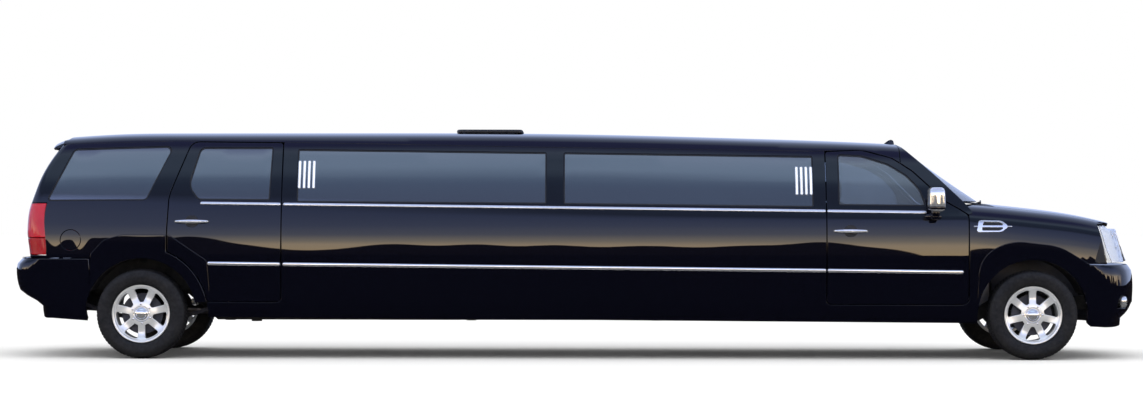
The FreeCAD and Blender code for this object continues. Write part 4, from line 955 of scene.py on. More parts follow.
class Graph:
    """Node tree built from sockets; an input is either a value or a socket to link."""

    def __init__(self, tree: bpy.types.NodeTree) -> None:
        """Starts with an empty tree."""
        self.tree = tree
        tree.nodes.clear()

    def feed(self, socket: bpy.types.NodeSocket, value: object) -> None:
        """Links a socket or sets a value."""
        if isinstance(value, bpy.types.NodeSocket):
            self.tree.links.new(value, socket)
        else:
            socket.default_value = value

    def add(self, kind: str, settings: Optional[dict] = None, **inputs: object) -> bpy.types.Node:
        """Adds a node.

        Args:
            kind: its type, without the leading ShaderNode.
            settings: its own properties.
            inputs: its inputs; underscores in their names stand for spaces.

        Returns:
            The node.
        """
        node = self.tree.nodes.new(f"ShaderNode{kind}")
        for name, value in (settings or {}).items():
            setattr(node, name, value)
        for name, value in inputs.items():
            self.feed(node.inputs[name.replace("_", " ")], value)
        return node

    def numbered(self, kind: str, settings: Optional[dict], *values: object) -> bpy.types.NodeSocket:
        """Output of a new node whose inputs are given in order, as their names repeat."""
        node = self.add(kind, settings)
        for socket, value in zip(node.inputs, values):
            self.feed(socket, value)
        return node.outputs[0]

    def spread(self, value: bpy.types.NodeSocket, start: float, stop: float, low: float = 0.0,
               high: float = 1.0) -> bpy.types.NodeSocket:
        """The value spread from start..stop to low..high."""
        return self.add("MapRange", None, Value=value, From_Min=start, From_Max=stop, To_Min=low,
                        To_Max=high).outputs["Result"]

    def shades(self, value: bpy.types.NodeSocket, *stops: tuple) -> bpy.types.NodeSocket:
        """Colour read from a ramp of (place, colour) stops."""
        node = self.add("ValToRGB", None, Fac=value)
        ramp = node.color_ramp
        while len(ramp.elements) < len(stops):
            ramp.elements.new(0.5)
        for element, (place, colour) in zip(ramp.elements, stops):
            element.position = place
            element.color = (*colour, 1.0)
        return node.outputs["Color"]

    def blended(self, share: bpy.types.NodeSocket, first: object, second: object) -> bpy.types.NodeSocket:
        """Colour between two colours."""
        return self.add("Mix", {"data_type": "RGBA"}, Factor=share, A=first, B=second).outputs["Result"]


class Recipe(Graph):
    """Node tree of one finish, built round a Principled shader, with patterns on Object coordinates."""

    def __init__(self, name: str) -> None:
        """Starts the material with its shader, output and coordinates."""
        self.material = bpy.data.materials.new(name)
        self.material.use_nodes = True
        super().__init__(self.material.node_tree)
        self.shader = self.add("BsdfPrincipled")
        self.add("OutputMaterial", None, Surface=self.shader.outputs[0])
        self.spot = self.add("TexCoord").outputs["Object"]

    def fixed(self, **values: float | tuple) -> None:
        """Sets the shader's own sockets; underscores in the names stand for spaces."""
        for name, value in values.items():
            self.feed(self.shader.inputs[name.replace("_", " ")], value)

    def noise(self, scale: float, detail: float = 4.0) -> bpy.types.NodeSocket:
        """Cloudy value from 0 to 1; scale is per metre."""
        return self.add("TexNoise", None, Vector=self.spot, Scale=scale, Detail=detail).outputs["Fac"]

    def cells(self, scale: float, feature: str = "F1") -> bpy.types.NodeSocket:
        """Distance in a pattern of cells, for grain, flakes and pores."""
        return self.add("TexVoronoi", {"feature": feature}, Vector=self.spot,
                        Scale=scale).outputs["Distance"]

    def bands(self, scale: float, axis: str) -> bpy.types.NodeSocket:
        """Even ribs along one axis."""
        return self.add("TexWave", {"bands_direction": axis}, Vector=self.spot, Scale=scale,
                        Distortion=0.0).outputs["Fac"]

    def colour(self, value: bpy.types.NodeSocket, *stops: tuple) -> None:
        """Base colour read from a ramp."""
        self.fixed(Base_Color=self.shades(value, *stops))

    def gloss(self, value: bpy.types.NodeSocket, low: float, high: float) -> None:
        """Roughness between two limits, over the middle of a pattern's range."""
        self.fixed(Roughness=self.spread(value, 0.3, 0.7, low, high))

    def relief(self, height: bpy.types.NodeSocket, distance: float, strength: float = 0.5) -> None:
        """Bump from a height; a second call adds to the first."""
        node = self.add("Bump", None, Height=height, Distance=distance, Strength=strength)
        before = self.shader.inputs["Normal"].links
        if before:
            self.feed(node.inputs["Normal"], before[0].from_socket)
        self.fixed(Normal=node.outputs["Normal"])


@dataclass(frozen=True)
class Paint:
    """Deep lacquer: dark base with fine flakes, faint polishing haze and a clear coat."""

    name: str = "black_lacquer"
    deep: tuple = (0.0018, 0.0020, 0.0048)
    flake: tuple = (0.006, 0.007, 0.016)

    def made(self) -> bpy.types.Material:
        """The material."""
        recipe = Recipe(self.name)
        recipe.colour(recipe.cells(900.0), (0.0, self.flake), (0.35, self.deep))
        recipe.gloss(recipe.noise(1.7, 5.0), 0.16, 0.3)
        recipe.relief(recipe.noise(55.0, 1.0), 0.00003, 0.3)
        recipe.fixed(Metallic=0.0, Specular_IOR_Level=0.0, Coat_Weight=1.0, Coat_Roughness=0.015,
                     Coat_IOR=1.5)
        return recipe.material


@dataclass(frozen=True)
class Metal:
    """Bright or dull metal with a soft cloud in its gloss and fine marks."""

    name: str
    colour: tuple
    worn: tuple
    smooth: float
    rough: float
    grain: float = 60.0
    depth: float = 0.00004
    metal: float = 1.0

    def made(self) -> bpy.types.Material:
        """The material."""
        recipe = Recipe(self.name)
        recipe.colour(recipe.noise(3.0, 6.0), (0.3, self.colour), (0.75, self.worn))
        recipe.gloss(recipe.noise(self.grain, 3.0), self.smooth, self.rough)
        recipe.relief(recipe.noise(self.grain * 6, 2.0), self.depth, 0.3)
        recipe.fixed(Metallic=self.metal)
        return recipe.material


@dataclass(frozen=True)
class TintedGlass:
    """Privacy glass: a dark tint with a strong reflection and faint drying marks."""

    name: str
    tint: tuple
    clear: float
    ior: float = 1.6

    def made(self) -> bpy.types.Material:
        """The material."""
        recipe = Recipe(self.name)
        darker = tuple(c * 0.8 for c in self.tint)
        recipe.colour(recipe.noise(0.9, 4.0), (0.35, self.tint), (0.7, darker))
        recipe.gloss(recipe.noise(9.0, 6.0), 0.0, 0.03)
        recipe.fixed(IOR=self.ior, Transmission_Weight=self.clear)
        return recipe.material


@dataclass(frozen=True)
class Rubber:
    """Dull rubber with a cloud of dust and a fine moulded skin."""

    name: str
    colour: tuple
    dust: tuple
    low: float = 0.6
    high: float = 0.85

    def made(self) -> bpy.types.Material:
        """The material."""
        recipe = Recipe(self.name)
        recipe.colour(recipe.noise(14.0, 8.0), (0.35, self.colour), (0.8, self.dust))
        recipe.gloss(recipe.noise(40.0, 4.0), self.low, self.high)
        recipe.relief(recipe.cells(420.0), 0.0002, 0.35)
        return recipe.material


@dataclass(frozen=True)
class Moulding:
    """Moulded plastic with a pebble grain."""

    name: str
    colour: tuple
    faded: tuple
    gloss: float = 0.45
    grain: float = 520.0

    def made(self) -> bpy.types.Material:
        """The material."""
        recipe = Recipe(self.name)
        recipe.colour(recipe.noise(5.0, 5.0), (0.35, self.colour), (0.75, self.faded))
        recipe.gloss(recipe.noise(80.0, 3.0), self.gloss, self.gloss + 0.15)
        recipe.relief(recipe.cells(self.grain, "SMOOTH_F1"), 0.00025, 0.4)
        return recipe.material


@dataclass(frozen=True)
class Leather:
    """Leather with creased grain, a soft sheen and darker pores."""

    name: str
    colour: tuple
    pores: tuple

    def made(self) -> bpy.types.Material:
        """The material."""
        recipe = Recipe(self.name)
        grain = recipe.cells(260.0, "DISTANCE_TO_EDGE")
        recipe.colour(grain, (0.0, self.pores), (0.25, self.colour))
        recipe.gloss(recipe.noise(12.0, 5.0), 0.38, 0.6)
        recipe.relief(grain, 0.0006, 0.4)
        recipe.relief(recipe.noise(18.0, 3.0), 0.002, 0.2)
        recipe.fixed(Sheen_Weight=0.15)
        return recipe.material


@dataclass(frozen=True)
class Carpet:
    """Short pile with a speckle of darker tufts."""

    name: str
    colour: tuple
    dark: tuple

    def made(self) -> bpy.types.Material:
        """The material."""
        recipe = Recipe(self.name)
        tufts = recipe.cells(380.0)
        recipe.colour(tufts, (0.1, self.colour), (0.7, self.dark))
        recipe.gloss(recipe.noise(30.0), 0.85, 1.0)
        recipe.relief(tufts, 0.002, 0.6)
        recipe.fixed(Sheen_Weight=0.4)
        return recipe.material


@dataclass(frozen=True)
class LampLens:
    """Lamp lens in a colour, with fine optic ribs moulded in it."""

    name: str
    colour: tuple
    shade: tuple
    clear: float
    ribs: float
    axis: str = "Z"
    glow: float = 0.0

    def made(self) -> bpy.types.Material:
        """The material."""
        recipe = Recipe(self.name)
        recipe.colour(recipe.noise(6.0, 4.0), (0.3, self.colour), (0.75, self.shade))
        recipe.gloss(recipe.noise(25.0), 0.03, 0.08)
        if self.ribs:
            recipe.relief(recipe.bands(self.ribs, self.axis), 0.0012, 0.5)
        recipe.fixed(IOR=1.49, Transmission_Weight=self.clear, Coat_Weight=0.6, Emission_Strength=self.glow)
        return recipe.material


class Look(Enum):
    """The finishes of the car, each made once."""

    PAINT = Paint()
    CHROME = Metal("bright_chrome", (0.83, 0.84, 0.86), (0.74, 0.75, 0.78), 0.03, 0.09, metal=0.8)
    ALLOY = Metal("polished_alloy", (0.84, 0.85, 0.87), (0.76, 0.77, 0.79), 0.16, 0.26, 90.0, metal=0.5)
    STEEL = Metal("machined_steel", (0.42, 0.41, 0.40), (0.30, 0.27, 0.24), 0.3, 0.5, 120.0, 0.0002)
    CAST = Metal("cast_metal", (0.13, 0.13, 0.14), (0.07, 0.07, 0.075), 0.5, 0.7, 160.0, 0.0008)
    GLASS = TintedGlass("privacy_glass", (0.014, 0.018, 0.026), 0.3, 2.5)
    CLEAR_GLASS = TintedGlass("front_glass", (0.30, 0.35, 0.40), 0.85, 1.9)
    RUBBER = Rubber("tyre_rubber", (0.004, 0.004, 0.005), (0.011, 0.010, 0.010))
    SEAL = Rubber("black_seal", (0.006, 0.006, 0.007), (0.014, 0.014, 0.015), 0.4, 0.6)
    UNDER = Rubber("undercoat", (0.006, 0.006, 0.006), (0.022, 0.020, 0.018), 0.75, 0.95)
    PLASTIC = Moulding("dark_moulding", (0.010, 0.010, 0.012), (0.020, 0.020, 0.023))
    TRIM = Moulding("cabin_trim", (0.045, 0.044, 0.045), (0.060, 0.058, 0.058), 0.55)
    LEATHER = Leather("black_leather", (0.022, 0.021, 0.022), (0.006, 0.006, 0.006))
    PILE = Carpet("cabin_carpet", (0.035, 0.034, 0.036), (0.012, 0.012, 0.013))
    RED_LENS = LampLens("red_lens", (0.62, 0.010, 0.022), (0.48, 0.006, 0.016), 0.25, 55.0)
    DEEP_LENS = LampLens("deep_red_lens", (0.42, 0.004, 0.004), (0.30, 0.003, 0.003), 0.2, 40.0)
    CLEAR_LENS = LampLens("clear_lens", (0.95, 0.96, 0.97), (0.90, 0.92, 0.94), 0.95, 0.0)
    PLATE = Moulding("plain_plate", (0.62, 0.62, 0.60), (0.52, 0.52, 0.50), 0.35)
    LIT = LampLens("lit_bar", (0.90, 0.91, 0.93), (0.80, 0.82, 0.86), 0.2, 90.0, glow=0.3)

    @property
    def material(self) -> bpy.types.Material:
        """The finish's material, made at its first use."""
        found = bpy.data.materials.get(self.value.name)
        return found if found else self.value.made()


def put(name: str, shell: Shell, body: str, slot: str, looks: Sequence[Look],
        nodes: Sequence[str] = ()) -> bpy.types.Object:
    """Makes an object of a mesh, dresses it and lets it ride.

    Args:
        name: the piece's name.
        shell: its mesh, in place.
        body: the body that it rides.
        slot: not used.
        looks: finishes by number.
        nodes: solids that it stands for.

    Returns:
        The object.
    """
    mesh = bpy.data.meshes.new(name)
    count = len(shell.triangles)
    mesh.vertices.add(len(shell.points))
    mesh.vertices.foreach_set("co", shell.points.astype(np.float32).ravel())
    mesh.loops.add(3 * count)
    mesh.loops.foreach_set("vertex_index", shell.triangles.astype(np.int32).ravel())
    mesh.polygons.add(count)
    mesh.polygons.foreach_set("loop_start", np.arange(0, 3 * count, 3, dtype=np.int32))
    mesh.polygons.foreach_set("material_index", shell.finish.astype(np.int32))
    mesh.polygons.foreach_set("use_smooth", np.ones(count, bool))
    mesh.update(calc_edges=True)
    mesh.validate()
    if len(mesh.vertices) == len(shell.points):
        mesh.normals_split_custom_set_from_vertices(unit(shell.normals).astype(np.float32))
    for look in looks:
        mesh.materials.append(look.material)
    piece = bpy.data.objects.new(name, mesh)
    bpy.context.scene.collection.objects.link(piece)
    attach(piece, body)
    if nodes:
        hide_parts(*nodes)
    return piece


def arc(centre_x: float, centre_z: float, radius: float, start: float, stop: float, count: int = 40) -> list:
    """Points of a circle between two angles in degrees, 0 forwards and 90 up."""
    angles = np.radians(np.linspace(start, stop, count))
    return [(centre_x + radius * math.cos(a), centre_z + radius * math.sin(a)) for a in angles]


def angle_up(z: float, reach: float = ARCH_R) -> float:
    """Angle in degrees at which a circle round an axle has the height z."""
    return math.degrees(math.asin((z - AXLE_Z) / reach))


def angle_along(x: float, axle_x: float, reach: float = ARCH_R) -> float:
    """Angle in degrees at which a circle round an axle has the place x along the car."""
    return math.degrees(math.acos((x - axle_x) / reach))


def drawn_in(loop: Array, by: float) -> Array:
    """The outline set in by a distance in metres."""
    turned = turned_left(loop, True)
    return turned + inwards(turned) * by


def rear_door_outline() -> list:
    """Outline of the rear door, with the round cut for the wheel, in mm."""
    low, high = angle_up(REAR_DOOR_LOW, DOOR_REACH), angle_along(REAR_DOOR_BACK_X, REAR_AXLE_X, DOOR_REACH)
    return [REAR_DOOR_FOOT, *arc(REAR_AXLE_X, AXLE_Z, DOOR_REACH, low, high), *REAR_DOOR_TOP]


class Skins:
    """The smooth surfaces that all panels lie on."""

    def __init__(self) -> None:
        """Makes the lofts, the ends and the corners."""
        self.cabin = Loft(cabin_half, CABIN_STATIONS)
        self.front = Loft(front_half, FRONT_STATIONS)
        self.flank = Flank(self.cabin, -4900, 3700)
        self.front_flank = Flank(self.front, 3200, 4900)
        self.nose = EndFace(NOSE_LINE, 1650, 690, 190, 1)
        self.tail = EndFace(TAIL_LINE, 4000, 800, 150, -1)
        self.front_bumper = EndFace(FRONT_BUMPER_LINE, 1650, 690, 190, 1)
        self.rear_bumper = EndFace(REAR_BUMPER_LINE, 2600, 800, 150, -1)
        self.tail_corner = Corner(self.flank, self.tail, 840, 1840)
        self.nose_corner = Corner(self.front_flank, self.nose, 790, 1165)
        self.front_wrap = Wrap(Corner(self.front_flank, self.front_bumper, 262, 812))
        self.rear_wrap = Wrap(Corner(self.flank, self.rear_bumper, 320, 850))

    def nose_meeting(self, s: Array, face: Optional[Facing] = None, start: float = 4.30,
                     stop: float = 4.85) -> Array:
        """x at which the front skin meets the nose face or another, for each s, from start to stop."""
        face = face or self.nose

        def behind(x: Array) -> Array:
            points = self.front.place(np.column_stack([x, s]))
            return x < face.reach(points[:, 1], points[:, 2])

        return halved(behind, np.full(s.shape, start), np.full(s.shape, stop))[0]

    def screen_meeting(self, x: Array) -> Array:
        """s at which the cabin skin meets the windscreen face, for each x."""
        screen = Screen(SCREEN_SUNK)

        def ahead(s: Array) -> Array:
            points = self.cabin.place(np.column_stack([x, s]))
            return screen.reach(points[:, 1], points[:, 2]) > x

        return halved(ahead, np.full(x.shape, 0.9), np.full(x.shape, self.cabin.top))[0]


@dataclass
class Glazing:
    """Side glass: flush dark panes in black seals, sunk a little below the skin."""

    skins: Skins
    sunk: float = 0.007
    thick: float = 0.005
    seal: float = 0.011

    def pane(self, surface: Surface, outline: Array) -> Shell:
        """One pane in its seal.

        Args:
            surface: the skin that the window is cut from.
            outline: the hole in (u, v).

        Returns:
            Pane with finish 0 and seal with finish 1.
        """
        loop = turned_left(outline, True)
        glass = patch(surface, -self.sunk, loop + inwards(loop) * 0.001, self.thick, 0.0015, 0.09)
        ring = patch(surface, -0.0035, loop + inwards(loop) * 0.0006, 0.0034, 0.0015, 0.2, 1,
                     (loop + inwards(loop) * self.seal,))
        return joined([glass, ring])


@dataclass
class Flanks:
    """The long side panels between the doors, with their two windows each."""

    skins: Skins
    glazing: Glazing
    depth: float = 0.03

    def outline(self) -> Array:
        """Outline from the front door round the sill to the rear wheel arch and the roof rail."""
        low, high = angle_up(SKIRT_LOW, DOOR_REACH), angle_up(REAR_DOOR_LOW, DOOR_REACH)
        bend = 60.0
        front = [(FRONT_DOOR_X1, FENDER_LOW), (FRONT_DOOR_X1, FRONT_DOOR_LOW + bend)]
        front += arc(FRONT_DOOR_X1 - bend, FRONT_DOOR_LOW + bend, bend, -4, -90, 8)
        front += [(FRONT_DOOR_X0, FRONT_DOOR_LOW, 40), (FRONT_DOOR_X0, FRONT_DOOR_TOP), (2005, 1763),
                  (-250, 1790)]
        rear = [(REAR_DOOR_FRONT_X, REAR_DOOR_FRONT_TOP), REAR_DOOR_FOOT]
        rear += arc(REAR_AXLE_X, AXLE_Z, DOOR_REACH, high, low, 8)
        return rounded(front + rear + [(-2876, SKIRT_LOW), (3238, FENDER_LOW)])

    def build(self) -> None:
        """Makes the panels and their glass on both sides."""
        windows = [rounded(g) for g in (STRETCH_GLASS_REAR, STRETCH_GLASS_FRONT)]
        skin = panel(self.skins.flank, self.outline(), windows, self.depth, 0.003)
        put("long_side_panels", both(skin), "body", "paint", (Look.PAINT, Look.TRIM), ("stretch_panels",))
        panes = [self.glazing.pane(self.skins.flank, w) for w in windows]
        corner = self.skins.tail_corner
        panes.append(self.glazing.pane(corner, corner.on_side(rounded(QUARTER_GLASS))))
        put("side_windows", both(joined(panes)), "body", "glass", (Look.GLASS, Look.SEAL), ("side_glass",))


@dataclass
class Quarters:
    """Quarter panels from the rear doors round the tail's corners, with the fuel flap's seam."""

    skins: Skins
    flap: tuple = (-4259, 999, 88)

    def outline(self) -> Array:
        """Outline in (u, z) of the tail corner."""
        corner = self.skins.tail_corner
        high = angle_along(REAR_DOOR_BACK_X, REAR_AXLE_X, DOOR_REACH)
        low = angle_up(REAR_DOOR_LOW, DOOR_REACH)
        side = [REAR_DOOR_TOP[0]] + arc(REAR_AXLE_X, AXLE_Z, DOOR_REACH, high, low, 24)
        side += arc(REAR_AXLE_X, AXLE_Z, ARCH_R, angle_up(REAR_DOOR_LOW),
                    180 - angle_along(4090, -REAR_AXLE_X), 60)
        side += [(-4090, BUMPER_TOP_REAR + 4)]
        front = rounded(side + [(-4800, 849), (-4800, 2400), (-3262, 1838.8, 90), (-3437, 1375, 300)])
        keep = (front[:, 0] > -4.095) & (front[:, 1] < 1.8385)
        start = int(np.argmax(~keep))
        front = np.roll(front, -start, axis=0)
        keep = np.roll(keep, -start)
        front = front[keep]
        door = rounded(rear_door_outline())
        door = door[(door[:, 0] < -3.197) & (door[:, 1] > 1.70)]
        front = np.concatenate([door[np.argsort(-door[:, 0])],
                                front[(front[:, 1] < 1.69) | (front[:, 0] < -3.5)]])
        under_lamp = self.rear_row([(-782, 849), (-782, 869)])
        lamp = corner.on_side([(-4.466, 0.869), (-4.466, 1.313)])
        above = self.rear_row([(-774, 1313), (-770, 1330), (-700, 1642), (-668, 1785), (-663, 1806)])
        rail_x = np.linspace(-4362, -3205, 30)
        rail = corner.on_side(np.column_stack([rail_x, table(RAIL_LINE, rail_x)]) * MM)
        return resampled(np.concatenate([corner.on_side(front), under_lamp, lamp, above, rail]), 0.03)

    def rear_row(self, places: Sequence) -> Array:
        """(u, z) of places (y, z) on the rear face, in mm."""
        return self.skins.tail_corner.on_end(np.asarray(places, float) * MM)

    def build(self) -> None:
        """Makes both quarter panels, with a fine groove round the fuel flap on the right side."""
        corner = self.skins.tail_corner
        glass = corner.on_side(rounded(QUARTER_GLASS))
        x, z, radius = self.flap
        ring = corner.on_side(rounded(arc(x, z, radius, 0, 354, 60), 12))
        left = panel(corner, self.outline(), (glass,), 0.03, 0.003)
        right = panel(corner, self.outline(), (glass, ring), 0.03, 0.003)
        cover = panel(corner, drawn_in(ring, 0.003), (), 0.012, 0.002, 0.03)
        put("quarter_skins", joined([right, cover, left.mirrored()]), "body", "paint",
            (Look.PAINT, Look.TRIM), ("quarter_panels",))


@dataclass
class Doors:
    """Front and rear doors: outer skin, inner frame with trim, glass, mirror, handle and strips."""

    skins: Skins
    glazing: Glazing

    def leaf(self, outline: Array, glass: Sequence) -> Shell:
        """Outer skin and inner frame of a door on the right side.

        Args:
            outline: the door's opening in (x, z).
            glass: the window's corners in mm.

        Returns:
            Skin with finish 0, inner frame and trim with finish 1.
        """
        window = rounded(glass)
        skin = panel(self.skins.flank, drawn_in(outline, 0.008), (window,), 0.016, 0.003)
        frame_loop = drawn_in(outline, 0.032)
        inner = panel(Raised(self.skins.flank, -0.0162), frame_loop, (window,), 0.055, 0.006, 0.08)
        return joined([skin, inner.painted(1)])

    def handle(self, start: float, stop: float, z: float) -> Shell:
        """Bright bar handle over a dark oval; its y follows sin to the power of 0.3 along its run."""
        t = np.linspace(0, 1, 41)
        x = start + (stop - start) * t
        skin = self.skins.flank.width(x * MM, np.full(41, z * MM))
        y = skin - 0.033 * np.sin(math.pi * t) ** 0.3
        bar = tube(np.column_stack([x * MM, y, np.full(41, z * MM)]), 0.009 + 0.007 * np.sin(math.pi * t),
                   20, False, 0.6)
        middle = (start + stop) / 2
        oval = box(middle - 56, middle + 56, z - 50, z + 50, 46)
        return joined([bar.painted(2), patch(self.skins.flank, 0.0009, oval, 0.004, 0.0008, 0.05, 3)])

    def mirror(self) -> Shell:
        """Door mirror: a bright head with a dark band, a mirror glass facing back, a neck and a foot."""
        head = pillow((3.017, -1.1115, 1.353), (0.066, 0.102, 0.101), 5.0, 36, 64)
        lean = (head.points[:, 2:] - 1.353) * np.array([[-0.04, 0.0, 0.0]])
        head = Shell(head.points + lean, head.normals, head.triangles, head.finish).painted(2)
        band = pillow((3.0185, -1.1115, 1.283), (0.0675, 0.1032, 0.017), 5.0, 20, 64)
        glass = panel(Plane((2.9525, 0, 0), (0, -1, 0), (0, 0, 1)), box(1030, 1195, 1268, 1438, 22), (),
                      0.004, 0.0015, 0.06, 2, 0).painted(4)
        neck = pillow((3.015, -1.010, 1.208), (0.036, 0.088, 0.026), 3.2, 20, 40)
        stalk = pillow((3.016, -1.075, 1.240), (0.034, 0.030, 0.036), 3.2, 20, 40)
        foot = pillow((3.010, -0.955, 1.206), (0.070, 0.026, 0.028), 3.0, 20, 40)
        return joined([head, band, glass, neck, stalk, foot])

    def extras(self, word: str) -> Shell:
        """Strips and handle of a front or rear door, and the front door's mirror."""
        flank = self.skins.flank
        if word == "front":
            lines = strips(flank, (2119, 2953), (2119, 3264))
            return joined([lines.painted(2), self.handle(2172, 2455, 1085), self.mirror()])
        lines = strips(flank, (-3169, -2490), (-3103, -2490))
        return joined([lines.painted(2), self.handle(-3378, -3095, 1157)])

    def build(self) -> None:
        """Makes the four doors and their glass."""
        kinds = (("front", rounded(FRONT_DOOR), FRONT_DOOR_GLASS, Look.CLEAR_GLASS, "clear_glass"),
                 ("rear", rounded(rear_door_outline()), REAR_DOOR_GLASS, Look.GLASS, "glass"))
        for word, outline, glass, look, slot in kinds:
            leaf = joined([self.leaf(outline, glass), self.extras(word)])
            pane = self.glazing.pane(self.skins.flank, rounded(glass))
            for side in Side:
                body = f"{word}_door_{side.word}"
                looks = (Look.PAINT, Look.TRIM, Look.CHROME, Look.SEAL, Look.CHROME)
                put(f"{word}_door_skin_{side.word}", leaf.on(side), body, "paint", looks, (body,))
                put(f"{word}_door_pane_{side.word}", pane.on(side), body, slot, (look, Look.SEAL),
                    (f"{word}_door_glass_{side.word}",))


@dataclass
class Roof:
    """Roof skin with the hatch opening, the hatch lid and the aerial fin."""

    skins: Skins
    lid_thick: float = 0.022

    def edge(self, x: Array) -> Array:
        """s of the roof's right edge at x in metres: the rail, then the front door's upper line."""
        fore = ((-4800, 1788), (-4300, 1814), (-3400, 1840), (-2500, 1832), (-250, 1790), (2005, 1763),
                (2400, 1776), (2470, 1768), (2680, 1708), (2760, 1657))
        return self.skins.cabin.s_at_height(x, table(fore, x / MM) * MM)

    def skin(self) -> Shell:
        """The roof in (x, s), with ears beside the tailgate and a hole for the hatch."""
        cabin = self.skins.cabin
        x = np.linspace(-4.366, 2.748, 120)
        right = np.column_stack([x, self.edge(x)])
        ear_x = np.array([-4.330, -4.350, -4.366])
        ear = np.column_stack([ear_x, cabin.s_at_width(ear_x, np.array([0.655, 0.657, 0.661]))])
        half = np.concatenate([ear[::-1], right])
        back = half[::-1].copy()
        back[:, 1] = 2 * cabin.top - back[:, 1]
        loop = np.concatenate([right, back, ear])
        loop = loop[np.concatenate([[True], np.linalg.norm(np.diff(loop, axis=0), axis=1) > 1e-6])]
        middle = (HATCH_X0 + HATCH_X1) / 2
        reach = (HATCH_X1 - HATCH_X0) / 2 - HATCH_LIP
        wide = HATCH_HALF_Y - HATCH_LIP
        hole = box(middle - reach, middle + reach, -wide, wide, 60) + np.array([0, cabin.top])
        return panel(cabin, resampled(loop, 0.05), (hole,), 0.03, 0.004, 0.07)

    def fin(self) -> Shell:
        """Aerial fin: a swept blade that thins towards its edge."""
        share = np.linspace(0, 1, 14)[:, None]
        angle = np.linspace(0, 2 * math.pi, 24, endpoint=False)[None]
        long = 0.052 * (1 - share) ** 0.55 + 0.003
        thick = 0.0085 * (1 - share) ** 0.8 + 0.0012
        x = 2.742 + 0.026 * share + long * np.cos(angle)
        y = thick * np.sin(angle)
        z = 1.828 + 0.054 * share * np.ones_like(angle)
        return grid_shell(np.stack([x, y, z], -1), close_columns=True, flip=True)

    def lid(self) -> Shell:
        """Hatch lid: a tinted top in a dark bevelled frame, raised above the roof."""
        low = HATCH_TOP - 26.2
        base = box(HATCH_X0 + 1, HATCH_X1 - 1, -289, 289, 70)
        frame_shell = panel(level(HATCH_TOP * MM - 0.0006), base, (drawn_in(base, 0.05),),
                            self.lid_thick + 0.003, 0.016, 0.1, 5, 0)
        glass = panel(level((HATCH_TOP - 3) * MM), drawn_in(base, 0.0508), (), 0.006, 0.0015, 0.1, 2, 0)
        pins = [tube(np.array([[HATCH_X1, y, low] for y in (y0, (y0 + y1) / 2, y1)]) * MM, 0.0029)
                for y0, y1 in ((-240, -150), (150, 240))]
        return joined([frame_shell, glass.painted(1), joined(pins).painted(0)])

    def build(self) -> None:
        """Makes the roof, its lid and its fin."""
        skin = self.skin()
        put("roof_skin", joined([skin, self.fin()]), "body", "paint", (Look.PAINT, Look.TRIM),
            ("roof_panel",))
        put("hatch_lid", self.lid(), "roof_hatch", "hatch", (Look.PLASTIC, Look.GLASS), ("roof_hatch",))


